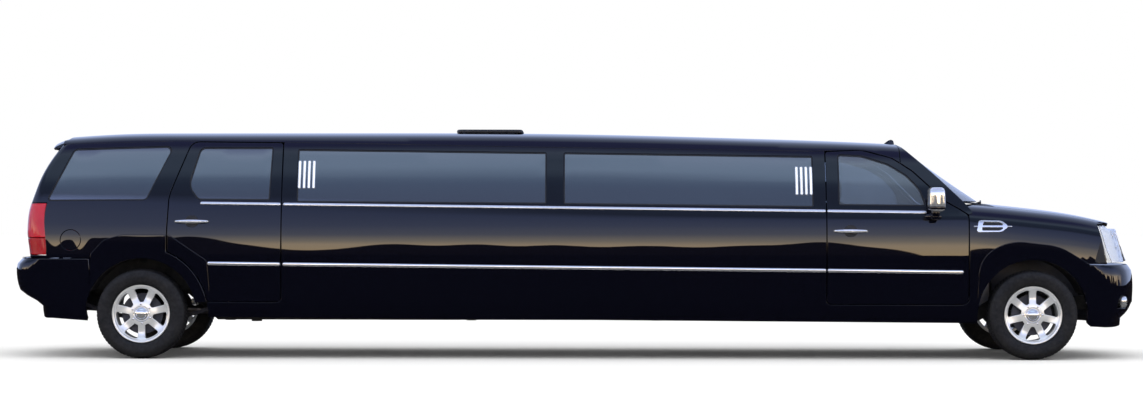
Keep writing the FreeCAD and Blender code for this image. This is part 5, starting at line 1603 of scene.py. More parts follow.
@dataclass
class FrontEnd:
    """Hood, fenders with their flares and vents, head lamps and grille."""

    skins: Skins

    def on_front(self, places: Sequence, flat: bool = False) -> Array:
        """(x, s) of the front skin for side places (x, z) in mm, or for plan places (x, y) if flat."""
        spots = np.asarray(places, float) * MM
        solve = self.skins.front.s_at_width if flat else self.skins.front.s_at_height
        return np.column_stack([spots[:, 0], solve(spots[:, 0], spots[:, 1])])

    def fender(self) -> Shell:
        """Fender from the door to the head lamp, round the arch and up to the hood line."""
        front_x = 4255.0
        rear, fore = angle_up(FENDER_LOW), angle_along(front_x, FRONT_AXLE_X)
        low = [(FRONT_DOOR_X1, 1200), (FRONT_DOOR_X1, 800), (FRONT_DOOR_X1, FENDER_LOW)]
        low += arc(FRONT_AXLE_X, AXLE_Z, ARCH_R, 180 - rear, fore, 60)
        low += [(front_x, 809), (4478, 809), (4482, 815), (4411, 1130), (4411, 1150), (4470, 1150)]
        side = self.on_front(low)
        top_x = np.linspace(4486, FRONT_DOOR_X1, 40)
        top = self.on_front(np.column_stack([top_x, np.full(40, HOOD_HALF)]), True)
        nose_s = np.linspace(side[-1, 1], top[0, 1], 8)
        nose = np.column_stack([self.skins.nose_meeting(nose_s) - 0.002, nose_s])
        loop = np.concatenate([side, nose, top[1:]])
        return panel(self.skins.front, resampled(loop, 0.03), (), 0.03, 0.003, 0.04)

    def hood(self) -> Shell:
        """Hood between the fenders, from the cowl to its lip over the nose."""
        front = self.skins.front
        x = np.linspace(COWL_X + GAP, 4470, 30)
        right = self.on_front(np.column_stack([x, np.full(30, HOOD_HALF - GAP)]), True)
        s = np.linspace(right[-1, 1], 2 * front.top - right[-1, 1], 40)
        lip = np.column_stack([self.skins.nose_meeting(np.minimum(s, 2 * front.top - s)) - 0.001, s])
        left = right[::-1].copy()
        left[:, 1] = 2 * front.top - left[:, 1]
        return panel(front, resampled(np.concatenate([right, lip, left]), 0.035), (), 0.03, 0.006, 0.05, 4)

    def flare(self, crest: Sequence, axle_x: float, flank: Surface, low: float, high: float) -> Shell:
        """Wheel flare: a band from the crest line to the arch, proud of the skin, soft at its crest."""
        loop = rounded(list(crest) + arc(axle_x, AXLE_Z, ARCH_R, low, high, 50), 24)
        return panel(Raised(flank, 0.017, 1.0, 0.055), loop, (), 0.03, 0.004, 0.04, 4)

    def lamp(self) -> Shell:
        """Head lamp lens round the nose's corner, with its reflector and five bowls behind it."""
        corner = self.skins.nose_corner
        side = corner.on_side(np.array([(4416, 1128), (4486, 818), (4476, 1144), (4418, 1146)]) * MM)
        end = corner.on_end(np.array([(-560, 818), (-560, 1109), (-745, 1111), (-752, 1138)]) * MM)
        loop = resampled(turned_left(np.concatenate([side[:2], end, side[2:]]), True), 0.02)
        lens = patch(corner, -0.002, drawn_in(loop, 0.003), 0.004, 0.002, 0.03)
        bed = patch(corner, -0.012, drawn_in(loop, 0.004), 0.03, 0.004, 0.03, 1)
        middle, reach = (loop.min(0) + loop.max(0)) / 2, (loop.max(0) - loop.min(0)) / 2
        shares = np.array([(0.1, 0.45), (0.6, 0.35), (0.15, -0.15), (0.6, -0.3), (0.3, -0.65)])
        spots, normals, _, _ = corner.frame(middle + reach * shares)
        bowls = [pillow(spot - normal * 0.018, (0.013, size, size), 2.0, 18, 32).painted(2)
                 for spot, normal, size in zip(spots, normals, (0.044, 0.046, 0.036, 0.040, 0.026))]
        return joined([lens, bed, *bowls])

    def grille(self) -> Shell:
        """Grille: a bright surround and an egg crate of five level and fifteen upright bars."""
        nose = self.skins.nose
        sides = ((828, 470), (960, 522), (1106, 540))
        outer = rounded([(-540, 1106, 20), (-522, 960, 60), (-470, 828, 40), (470, 828, 40), (522, 960, 60),
                         (540, 1106, 20)])
        pieces = [patch(nose, 0.003, outer, 0.045, 0.008, 0.2, 0, (drawn_in(outer, 0.024),), 4)]
        for z in 840 + 42.33 * np.arange(1, 6):
            half = float(table(sides, z)) - 18
            pieces.append(patch(nose, -0.006, box(-half, half, z - 4.5, z + 4.5), 0.03, 0.003))
        for y in -540 + 67.5 * np.arange(1, 16):
            low = max(846.0, float(np.interp(abs(y) + 20, [470, 522, 540], [828, 960, 1106])) + 4)
            pieces.append(patch(nose, -0.009, box(y - 4.5, y + 4.5, low, 1086), 0.027, 0.003))
        return joined([*pieces, patch(nose, -0.04, drawn_in(outer, 0.01), 0.004, 0.001, 0.1, 1)])

    def vent(self) -> Shell:
        """Bright vent behind the wheel: a pointed frame with a bar over a dark ground."""
        flank = self.skins.front_flank
        outer = rounded([(3372, 1076, 16), (3392, 1178, 26), (3585, 1174, 70), (3648, 1126, 20),
                         (3585, 1078, 70)])
        slots = [rounded([(3422, 1135, 5), (3436, 1162, 10), (3568, 1160, 24), (3612, 1135, 6)]),
                 rounded([(3420, 1117, 5), (3612, 1117, 6), (3568, 1092, 24), (3420, 1092, 8)])]
        x = np.linspace(3350, 3672, 24)
        spine = flank.place(np.column_stack([x, np.full(24, 1126.0)]) * MM) - np.array([0, 0.002, 0])
        return joined([patch(flank, 0.008, outer, 0.012, 0.004, 0.1, 0, slots, 4), tube(spine, 0.0055),
                       patch(flank, 0.001, drawn_in(outer, 0.012), 0.004, 0.0006, 0.1, 1)])

    def shade(self) -> Shell:
        """Dark wedge of painted shade behind the head lamp's foot."""
        # painted shade: a black sheet stands in for the shade behind the head lamp's foot
        loop = rounded([(4428, 1010, 5), (4474, 822, 5), (4372, 822, 12)])
        return patch(self.skins.front_flank, 0.0008, loop, 0.004, 0.0007, 0.05, 1)

    def build(self) -> None:
        """Makes the front end's pieces."""
        fender = self.fender()
        crest = [(4329, 806), (4075, 960, 480), (3640, 1010, 420), (3400, 860, 260), (3376, 380)]
        flare = self.flare([(4300, 560), (4345, 800, 40)] + crest[1:], FRONT_AXLE_X, self.skins.front_flank,
                           179.7, 24)
        put("fender_skins", both(joined([fender, flare])), "body", "paint", (Look.PAINT, Look.TRIM),
            ("front_fenders",))
        put("grille_crate", self.grille(), "body", "chrome", (Look.CHROME, Look.PLASTIC), ("grille",))
        # the vents' object also carries the painted shade sheets behind the head lamps
        put("fender_vents", both(joined([self.vent(), self.shade()])), "body", "chrome",
            (Look.CHROME, Look.SEAL))
        put("hood_skin", self.hood(), "hood", "paint", (Look.PAINT, Look.TRIM), ("hood",))
        put("head_lamps", both(self.lamp()), "body", "head_lamp", (Look.CLEAR_LENS, Look.LIT, Look.CHROME),
            ("front_lamps",))


@dataclass
class TailEnd:
    """Tailgate with its glass and spoiler, and the tail lamps."""

    skins: Skins

    def gate(self) -> Shell:
        """Tailgate's rear face in (y, z) below the spoiler, with its window hole."""
        loop = rounded([(-774, 860, 55), (-762, 1330, 200), (-656, 1800, 10), (656, 1800, 10),
                        (762, 1330, 200), (774, 860, 55)])
        return panel(self.skins.tail, loop, (rounded(TAILGATE_GLASS),), 0.03, 0.004)

    def spoiler(self) -> Shell:
        """Spoiler over the rear window: one section carried across the car, bowed in plan and swept down."""
        section = np.array([(-4338, 1884), (-4400, 1874), (-4452, 1856), (-4492, 1838), (-4512, 1822),
                            (-4506, 1812), (-4470, 1806), (-4432, 1798), (-4400, 1800),
                            (-4338, 1850)], float)
        y = np.linspace(-652, 652, 41)
        bow = y ** 2 / 8000
        fall = 46 * np.abs(y / 652) ** 2.6
        rows = np.stack([section[None, :, 0] + bow[:, None], np.broadcast_to(y[:, None], (41, len(section))),
                         section[None, :, 1] - fall[:, None]], -1) * MM
        middle = rows.mean(1, keepdims=True)
        rows = np.concatenate([middle[:1] + (rows[:1] - middle[:1]) * 1e-3, rows,
                               middle[-1:] + (rows[-1:] - middle[-1:]) * 1e-3])
        return grid_shell(rows, close_columns=True)

    def lamps(self) -> Shell:
        """Tail lamps round the corners: upper and lower lens."""
        corner = self.skins.tail_corner

        def lens(low: float, high: float, number: int) -> Shell:
            side = corner.on_side([(-4.468, low * MM), (-4.468, high * MM)])
            end = corner.on_end([(-0.786, low * MM), (-0.786, high * MM)])
            loop = resampled(turned_left(np.array([side[0], end[0], end[1], side[1]]), True), 0.02)
            return patch(corner, 0.002, drawn_in(loop, 0.002), 0.04, 0.007, 0.025, number, (), 4)

        return joined([lens(1018, 1310, 0), lens(872, 1016, 1)])

    def build(self) -> None:
        """Makes the rear end's pieces."""
        tail = self.skins.tail
        surround = rounded([(-190, 990, 20), (-190, 1165, 20), (190, 1165, 20), (190, 990, 20)])
        inner = rounded([(-165, 1005, 10), (-165, 1150, 10), (165, 1150, 10), (165, 1005, 10)])
        bezel = patch(tail, 0.006, surround, 0.008, 0.004, 0.1, 2, (inner,), 4)
        plate = patch(tail, 0.0015, inner, 0.003, 0.001, 0.08, 3)
        put("tailgate_skin", joined([self.gate(), self.spoiler(), bezel, plate]), "tailgate", "paint",
            (Look.PAINT, Look.TRIM, Look.CHROME, Look.PLATE), ("tailgate",))
        put("tail_lamp_lenses", both(self.lamps()), "body", "tail_lamp", (Look.RED_LENS, Look.DEEP_LENS),
            ("tail_lamps",))
        glass = Glazing(self.skins, 0.010).pane(self.skins.tail, rounded(TAILGATE_GLASS))
        put("tailgate_pane", glass, "tailgate", "glass", (Look.GLASS, Look.SEAL), ("tailgate_glass",))


@dataclass
class Bumpers:
    """Front and rear bumper covers, each one sheet round both corners."""

    skins: Skins

    def cover(self, wrap: Wrap, side_points: Sequence, holes: Sequence[Array], grid: float = 0.045) -> Shell:
        """Cover in (w, z) from the right side's outline points (x, z), mirrored to the left."""
        corners = np.asarray(side_points, float)
        runs = []
        for a, b in zip(corners[:-1], corners[1:]):
            count = 1 + max(1, int(np.hypot(*(b - a)) / 25))
            runs.append(a + (b - a) * np.linspace(0, 1, count, endpoint=False)[:, None])
        spots = np.concatenate([*runs, corners[-1:]]) * MM
        right = np.column_stack([wrap.to_w(spots[:, 0], spots[:, 1]), spots[:, 1]])
        left = right[::-1] * np.array([-1, 1])
        return panel(wrap, resampled(np.concatenate([right, left]), 0.03), holes, 0.045, 0.008, grid, 4)

    def build(self) -> None:
        """Makes both covers, with the intake and lamp openings in front."""
        wrap = self.skins.front_wrap
        up, low = angle_along(4262, FRONT_AXLE_X), angle_up(306)
        front_side = [(4262, 803), *arc(FRONT_AXLE_X, AXLE_Z, ARCH_R, up, low, 30), (4354, 276), (4480, 270)]
        mouth = rounded([(-560, 330, 30), (-500, 470, 30), (500, 470, 30), (560, 330, 30)])
        fogs = [rounded([(s * 700, 430, 20), (s * 690, 540, 25), (s * 830, 530, 25), (s * 860, 440, 20)])
                for s in (-1, 1)]
        front = self.cover(wrap, front_side, (mouth, *fogs))
        backs = [patch(wrap, -0.047, drawn_in(hole, -0.012), 0.006, 0.002, 0.05, 1)
                 for hole in (mouth, *fogs)]
        slats = [patch(wrap, -0.02, box(-w, w, z - 7, z + 7), 0.03, 0.003, 0.1, 1)
                 for z, w in ((365, 535), (400, 520), (435, 508))]
        lamps = []
        for hole in fogs:
            spot, normal, _, _ = wrap.frame(hole.mean(0)[None])
            middle = spot[0] - normal[0] * 0.026
            lamps.append(pillow(middle, (0.034, 0.068, 0.050), 3.2, 20, 36).painted(2))
        front = joined([front, *backs, *slats, *lamps])
        put("front_bumper_cover", front, "body", "paint", (Look.PAINT, Look.PLASTIC, Look.CHROME),
            ("front_bumper",))
        down, under = angle_along(-4096, REAR_AXLE_X), 360 - angle_along(-4128, REAR_AXLE_X)
        rear_side = [(-4096, 843)] + arc(REAR_AXLE_X, AXLE_Z, ARCH_R, down, under, 20) + [(-4437, 336)]
        rear = self.cover(self.skins.rear_wrap, rear_side, ())
        run = np.column_stack([np.linspace(-1.25, 1.25, 101), np.full(101, 0.842)])
        rim = self.skins.rear_wrap.place(run)
        rim = rim[rim[:, 0] < -4.60][:, :2]
        rim = rim + unit(np.array([[-4.3, 0.0]]) - rim) * 0.035
        bar = np.column_stack([np.full(21, -4.675), np.linspace(rim[-1, 1], rim[0, 1], 23)[1:-1]])
        shelf = panel(level(0.8445), np.concatenate([rim, bar]), (), 0.02, 0.004, 0.05)
        tread = [panel(level(0.8465), box(-4772, -4722, y0, y0 + 290, 6), (), 0.004, 0.0015, 0.06,
                       2).painted(1)
                 for y0 in (-450, -145, 160)]
        rear = joined([rear, shelf, *tread])
        put("rear_bumper_cover", rear, "body", "paint", (Look.PAINT, Look.PLASTIC), ("rear_bumper",))


@dataclass
class Wheel:
    """One wheel: a treaded tyre, and a cast rim with seven spokes, cap, nuts and brake disc."""

    name: str
    x: float
    side: Side
    turn: float
    tyre_radius: float = 377.6
    spokes: int = 7
    spoke_half: float = 30.0

    def tyre(self) -> Shell:
        """Tyre: profile r(y) carried round, less grooves g(angle, y) in the tread band."""
        half = 131.5
        knots = np.array([(231, -97), (249, -101), (262, -118), (290, -128), (310, -half), (334, -129),
                          (352, -122), (365, -112), (372.5, -98), (375.6, -78), (377, -40),
                          (self.tyre_radius, 0)], float)
        profile = np.concatenate([knots, knots[-2::-1] * np.array([1, -1])])
        run = np.concatenate([[0], np.cumsum(np.linalg.norm(np.diff(profile, axis=0), axis=1))])
        fine = np.concatenate([np.linspace(0, run[8], 26)[:-1], np.linspace(run[8], run[-9], 60),
                               np.linspace(run[-9], run[-1], 26)[1:]])
        curve = CubicWeights(run).at(fine) @ profile
        count = 432
        angle = np.linspace(0, 2 * math.pi, count, endpoint=False)
        y = curve[:, 1][:, None]
        tread = np.clip((108 - np.abs(y)) / 6, 0, 1)
        grooves = np.zeros((len(fine), count))
        for place in (-62, -21, 21, 62):
            grooves = np.maximum(grooves, np.exp(-((y - place) / 4.2) ** 6) * np.ones(count))
        lean = np.where(np.abs(y) > 62, 0.0, 0.05) * y / 20
        wave = (angle[None] * 72 / (2 * math.pi) + lean + np.where(np.abs(y) > 21, 0.5, 0)) % 1.0
        slots = np.exp(-((wave - 0.5) / 0.13) ** 6) * np.where(np.abs(y) < 21, 0.6, 1.0)
        radius = curve[:, :1] - 7.0 * tread * np.maximum(grooves, slots)
        ribs = 0.8 * np.exp(-((curve[:, :1] - 262) / 2.5) ** 2)
        ribs = ribs - 0.8 * np.exp(-((curve[:, :1] - 345) / 2.0) ** 2)
        out = y + np.sign(y) * ribs
        rows = np.stack([self.x + radius * np.sin(angle), self.side.value * WHEEL_Y + out * np.ones(count),
                         AXLE_Z + radius * np.cos(angle)], -1) * MM
        inner = rows[:1].copy()
        return grid_shell(np.concatenate([rows, inner]), close_columns=True, flip=True)

    def face(self) -> "Dish":
        """The dished surface that the spokes lie on."""
        return Dish((self.x, self.side.value * WHEEL_Y, AXLE_Z), self.side.value, self.turn)

    def window(self, number: int) -> Array:
        """Opening between two spokes: two arcs joined by lines beside the spokes, in metres."""
        start = 360 * number / self.spokes
        stop = 360 * (number + 1) / self.spokes
        outer, inner = 211.0, 100.0
        gap_out = math.degrees(math.asin(self.spoke_half / outer))
        gap_in = math.degrees(math.asin(self.spoke_half / inner))
        outline = arc(0, 0, outer, 90 - start - gap_out, 90 - stop + gap_out, 14)
        outline += arc(0, 0, inner, 90 - stop + gap_in, 90 - start - gap_in, 6)
        corners = {0: 12, 13: 12, 14: 9, 19: 9}
        return rounded([(*p, corners[i]) if i in corners else p for i, p in enumerate(outline)], 12)

    def rim(self) -> Shell:
        """Cast face with seven spokes, lip and barrel, cap, nuts, and the disc behind."""
        sign = self.side.value
        centre = (self.x, sign * WHEEL_Y, AXLE_Z)
        face = panel(self.face(), rounded(arc(0, 0, 226, 0, 357, 120), 12),
                     [self.window(i) for i in range(self.spokes)], 0.034, 0.006, 0.02, 4, 0)
        lip = revolved([(224, 96), (226, 104), (232, 107.4), (240, 107.4), (244.5, 104), (243, 100),
                        (231, 97), (229.4, 88), (229.4, -100), (243, -101), (244.5, -107), (226, -107),
                        (217, -96), (215, 60), (219, 90)], centre, sign)
        cap = revolved([(0.5, 60), (44, 60), (55, 68), (55, 79), (50, 84), (44, 85), (41, 82), (38, 83.5),
                        (30, 88), (18, 91), (0.5, 92)], centre, sign, 64)
        ring = revolved([(62, 70), (62, 78.5), (65, 79.6), (68, 78.5), (68, 70)], centre, sign, 64)
        nuts = []
        for angle in np.radians(np.arange(6) * 60 + 30 + self.turn):
            spot = (self.x + 82 * math.sin(angle), centre[1], AXLE_Z + 82 * math.cos(angle))
            nuts.append(revolved([(0.5, 60), (9.5, 60), (9.5, 78), (7, 81.5), (0.5, 82.5)], spot, sign, 12))
        disc = revolved([(40, -40), (88, -40), (90, -12), (172, -12), (172, -1), (150, -1), (150, 5),
                         (172, 5), (172, 16), (60, 16), (40, 40)], centre, sign, 72)
        drum = revolved([(38, 8), (70, 8), (74, 40), (66, 56), (38, 58)], centre, sign, 48)
        return joined([face, lip, cap.painted(1), ring.painted(1), joined(nuts).painted(1), disc.painted(2),
                       drum.painted(2)])

    def build(self) -> None:
        """Makes the tyre and the rim."""
        body = f"wheel_{self.name}_{self.side.word}"
        tag = f"{self.name}_{self.side.word}"
        put(f"treaded_tyre_{tag}", self.tyre(), body, "tyre", (Look.RUBBER,), (f"tyre_{tag}",))
        put(f"cast_rim_{tag}", self.rim(), body, "rim", (Look.ALLOY, Look.CHROME, Look.CAST),
            (f"rim_{tag}",))


@dataclass
class Dish(Surface):
    """Wheel face in its own plane (a, b): P = centre + a X + b Z + out(r) Y, where out is a soft dish."""

    centre: Sequence[float]
    sign: float
    turn: float

    def __post_init__(self) -> None:
        """Sets the outward side: X cross Z points along -Y."""
        self.outward = -self.sign

    def place(self, uv: Array) -> Array:
        """Points of the dish, turned by the wheel's own angle."""
        angle = math.radians(self.turn)
        a = uv[:, 0] * math.cos(angle) + uv[:, 1] * math.sin(angle)
        b = -uv[:, 0] * math.sin(angle) + uv[:, 1] * math.cos(angle)
        radius = np.hypot(a, b) / MM
        out = np.interp(radius, [0, 60, 95, 130, 170, 205, 226], [78, 78, 77, 70, 71, 80, 92])
        knots = CubicWeights([0, 45, 90, 135, 180, 226])
        smooth = knots.at(np.clip(radius, 0, 226)) @ np.array([79, 79, 77, 70, 73, 92.0])
        out = 0.15 * out + 0.85 * smooth
        return np.column_stack([self.centre[0] * MM + a, (self.centre[1] + self.sign * out) * MM,
                                self.centre[2] * MM + b])


@dataclass
class Front:
    """Windscreen with its black band, the pillars beside it, the cowl and the wall behind the engine."""

    skins: Skins

    def rim(self) -> Array:
        """Outline of the screen in (y, z): where the cabin skin meets it, and the cowl's line below."""
        x = np.linspace(2.762, 3.42, 40)
        spots = self.skins.cabin.place(np.column_stack([x, self.skins.screen_meeting(x)]))
        side = spots[:, 1:]
        side = side[(side[:, 1] > 1.325) & (side[:, 1] < 1.815)]
        return resampled(np.concatenate([side, side[::-1] * np.array([-1, 1])]), 0.04)

    def pillar(self) -> Shell:
        """Pillar between the front door and the screen, in (x, s) of the cabin skin."""
        cabin = self.skins.cabin
        x = np.linspace(2.753, 3.385, 60)
        door = rounded(FRONT_DOOR)
        door = door[(door[:, 0] > 2.60) & (door[:, 0] < 3.30) & (door[:, 1] > 1.20)]
        door = np.concatenate([door[np.argsort(door[:, 0])], [[3.316, 1.226], [3.385, 1.262]]])
        low = cabin.s_at_height(x, np.interp(x, door[:, 0], door[:, 1]))
        high = self.skins.screen_meeting(x)
        keep = high > low + 0.012
        x, low, high = x[keep], low[keep], high[keep]
        loop = np.concatenate([np.column_stack([x, low]), np.column_stack([x, high])[::-1]])
        return panel(cabin, resampled(loop, 0.04), (), 0.03, 0.004, 0.04)

    def cowl(self) -> Shell:
        """Cowl in (x, s) of the front skin, from the screen's foot to the hood, with an air slot pattern."""
        front = self.skins.front
        edge = front.s_at_width(np.array([3.55]), np.array([(HOOD_HALF - 4) * MM]))[0]
        s = np.linspace(edge, 2 * front.top - edge, 61)
        folded = np.minimum(s, 2 * front.top - s)
        back = np.column_stack([self.skins.nose_meeting(folded, Screen(-2.0), 3.15, 3.7), s])
        ahead = np.column_stack([np.full(61, (COWL_X - GAP / 2) * MM), s])[::-1]
        return panel(front, np.concatenate([back, ahead]), (), 0.02, 0.003, 0.05)

    def build(self) -> None:
        """Makes the screen and what carries it."""
        rim = self.rim()
        glass = panel(Screen(4.0), drawn_in(rim, 0.003), (), 0.005, 0.0015, 0.07, 2, 0)
        band = panel(Screen(9.4), drawn_in(rim, 0.004), (drawn_in(rim, 0.05),), 0.002, 0.0006, 0.2, 2, 0)
        put("windscreen_glass", joined([glass, band.painted(1)]), "body", "clear_glass",
            (Look.CLEAR_GLASS, Look.SEAL), ("windscreen",))
        wall = panel(Plane((3.445, 0, 0), (0, 1, 0), (0, 0, 1)), rounded([(-600, 500, 40), (600, 500, 40),
                     (640, 1270, 60), (-640, 1270, 60)]), (), 0.02, 0.004, 0.12)
        put("pillars_and_cowl", joined([both(self.pillar()), self.cowl().painted(1), wall.painted(2)]),
            "body", "paint", (Look.PAINT, Look.PLASTIC, Look.UNDER), ("windscreen_frame",))


@dataclass
class SideTrim:
    """Bright strips and light bars of the long panels, and flares over the rear wheels."""

    skins: Skins

    def bars(self, first: float, low: float, high: float) -> Shell:
        """Four upright lit bars in bright frames, 40 mm apart."""
        flank = self.skins.flank
        pieces = []
        for x in first + 40.0 * np.arange(4):
            outer = box(x, x + 25, low, high, 8)
            pieces.append(patch(flank, 0.002, outer, 0.010, 0.002, 0.2, 0, (drawn_in(outer, 0.005),), 3))
            pieces.append(patch(flank, 0.0005, drawn_in(outer, 0.0052), 0.007, 0.003, 0.04, 1, (), 3))
        return joined(pieces)

    def flare(self, on_door: bool) -> Shell:
        """Rear wheel flare on the quarter panel, or its part on the rear door."""
        flank = Raised(self.skins.flank, 0.016, 1.03, 0.05)
        if on_door:
            reach = DOOR_REACH + GAP + 2
            loop = arc(REAR_AXLE_X, AXLE_Z, reach, 13, angle_along(-3438, REAR_AXLE_X, reach), 24)
            loop += [(-3438, 1045), (-3427, 1045, 60), (-3202, 892, 160), (-3106, 830, 60), (-3078, 486, 30)]
        else:
            reach = DOOR_REACH - 2
            loop = arc(REAR_AXLE_X, AXLE_Z, ARCH_R, 12, 157, 60)
            loop += [(-4092, 850), (-4087, 883, 40), (-3975, 1004, 150), (-3814, 1045, 120), (-3454, 1045)]
            loop += arc(REAR_AXLE_X, AXLE_Z, reach, angle_along(-3454, REAR_AXLE_X, reach), 10.5, 24)
        return panel(flank, rounded(loop, 24), (), 0.02, 0.004, 0.04, 4)

    def liner(self, axle_x: float, low: float, high: float) -> Shell:
        """Lip that joins the wheel housing to the skin, from the low to the high angle in degrees."""
        radius = ARCH_R * MM + 0.002
        start, stop = math.radians(low) * radius, math.radians(high) * radius
        loop = np.array([(start, -0.956), (stop, -0.956), (stop, -0.900), (start, -0.900)])
        return panel(Rolled(axle_x, radius), resampled(loop, 0.03), (), 0.006, 0.001, 0.05, 2, 0)

    def build(self) -> None:
        """Makes the trim on both sides."""
        for word, axle_x, low, high in (("rear", REAR_AXLE_X, 10, 158), ("front", FRONT_AXLE_X, 22, 179)):
            put(f"{word}_arch_liners", both(self.liner(axle_x, low, high)), "body", "underbody",
                (Look.UNDER,))
        flank = self.skins.flank
        lines = strips(flank, (-2470, 2107), (-2470, 2107))
        bars = [self.bars(-2350, 1438, 1674), self.bars(1854, 1391, 1630)]
        put("side_trim", both(joined([lines, *bars])), "body", "chrome", (Look.CHROME, Look.LIT),
            ("bright_trim",))
        put("rear_flares", both(self.flare(False)), "body", "paint", (Look.PAINT, Look.TRIM))
        for side in Side:
            put(f"door_flare_{side.word}", self.flare(True).on(side), f"rear_door_{side.word}", "paint",
                (Look.PAINT, Look.TRIM))


def cushion(centre: Sequence[float], along: Sequence[float], across: Sequence[float], thick: Sequence[float],
            grooves: int = 0, panels: int = 1, flat_back: float = 0.8) -> Shell:
    """Crowned cushion of two sheets that meet in a piped seam.

    With a and b from -1 to 1, P = centre + a' along + b' across +- T thick. T = ((1 - a^8)(1 - b^8))^0.35
    times a crown 0.86 + 0.14 (1 - a a)(1 - b b), less a narrow bell at each sewn groove. The sides a', b'
    pull in by 2.5 % between the corners.

    Args:
        centre: middle in metres.
        along: half extent in the first direction.
        across: half extent in the second direction.
        thick: half thickness, along the cross product of the first two.
        grooves: sewn grooves across the first direction.
        panels: panels in the second direction, with a groove between each two.
        flat_back: share of the thickness on the far side.

    Returns:
        The closed mesh, with the piping.
    """
    long, wide, deep = (np.asarray(v, float) for v in (along, across, thick))
    ease = np.sin(np.linspace(-math.pi / 2, math.pi / 2, 14))
    spread = max(30, int(np.linalg.norm(long) / 0.0125))
    a = np.concatenate([-1 + 0.08 * (1 + ease[:7]), np.linspace(-0.90, 0.90, spread),
                        1 - 0.08 * (1 + ease[:7])[::-1]])
    b = np.concatenate([-1 + 0.1 * (1 + ease[:7]), np.linspace(-0.88, 0.88, 30),
                        1 - 0.1 * (1 + ease[:7])[::-1]])
    aa, bb = np.meshgrid(np.unique(a), np.unique(b), indexing="ij")
    height = (np.clip((1 - np.abs(aa) ** 8) * (1 - np.abs(bb) ** 8), 0, 1)) ** 0.35
    height = height * (0.86 + 0.14 * (1 - aa ** 2) * (1 - bb ** 2))
    dip = np.zeros_like(height)
    for count, value, extent in ((grooves, aa, np.linalg.norm(long)),
                                 (panels - 1, bb, np.linalg.norm(wide))):
        for place in (np.arange(count) + 1) / (count + 1) * 2 - 1:
            dip = np.maximum(dip, np.exp(-np.abs((value - place) * extent / 0.011) ** 1.3))
    puff = height - dip * 0.13 * height
    pull_a = aa * (1 - 0.025 * (1 - bb ** 2) * np.abs(aa) ** 4)
    pull_b = bb * (1 - 0.025 * (1 - aa ** 2) * np.abs(bb) ** 4)
    base = np.asarray(centre, float) + pull_a[..., None] * long + pull_b[..., None] * wide
    near = grid_shell(base + puff[..., None] * deep)
    far = grid_shell(base - (height * flat_back)[..., None] * deep, flip=True)
    loop = np.concatenate([base[:-1, 0], base[-1, :-1], base[:0:-1, -1], base[0, :0:-1]])
    piping = tube(resampled(loop, 0.03), 0.0035, 8, True)
    return joined([near, far, piping.painted(1)])


def plinth(x0: float, x1: float, y0: float, y1: float, z0: float, z1: float) -> Shell:
    """Seat base with rounded upright corners, between limits in mm."""
    return panel(level(z1 * MM), box(x0, x1, y0, y1, 40), (), (z1 - z0) * MM, 0.012, 0.12, 4, 0)


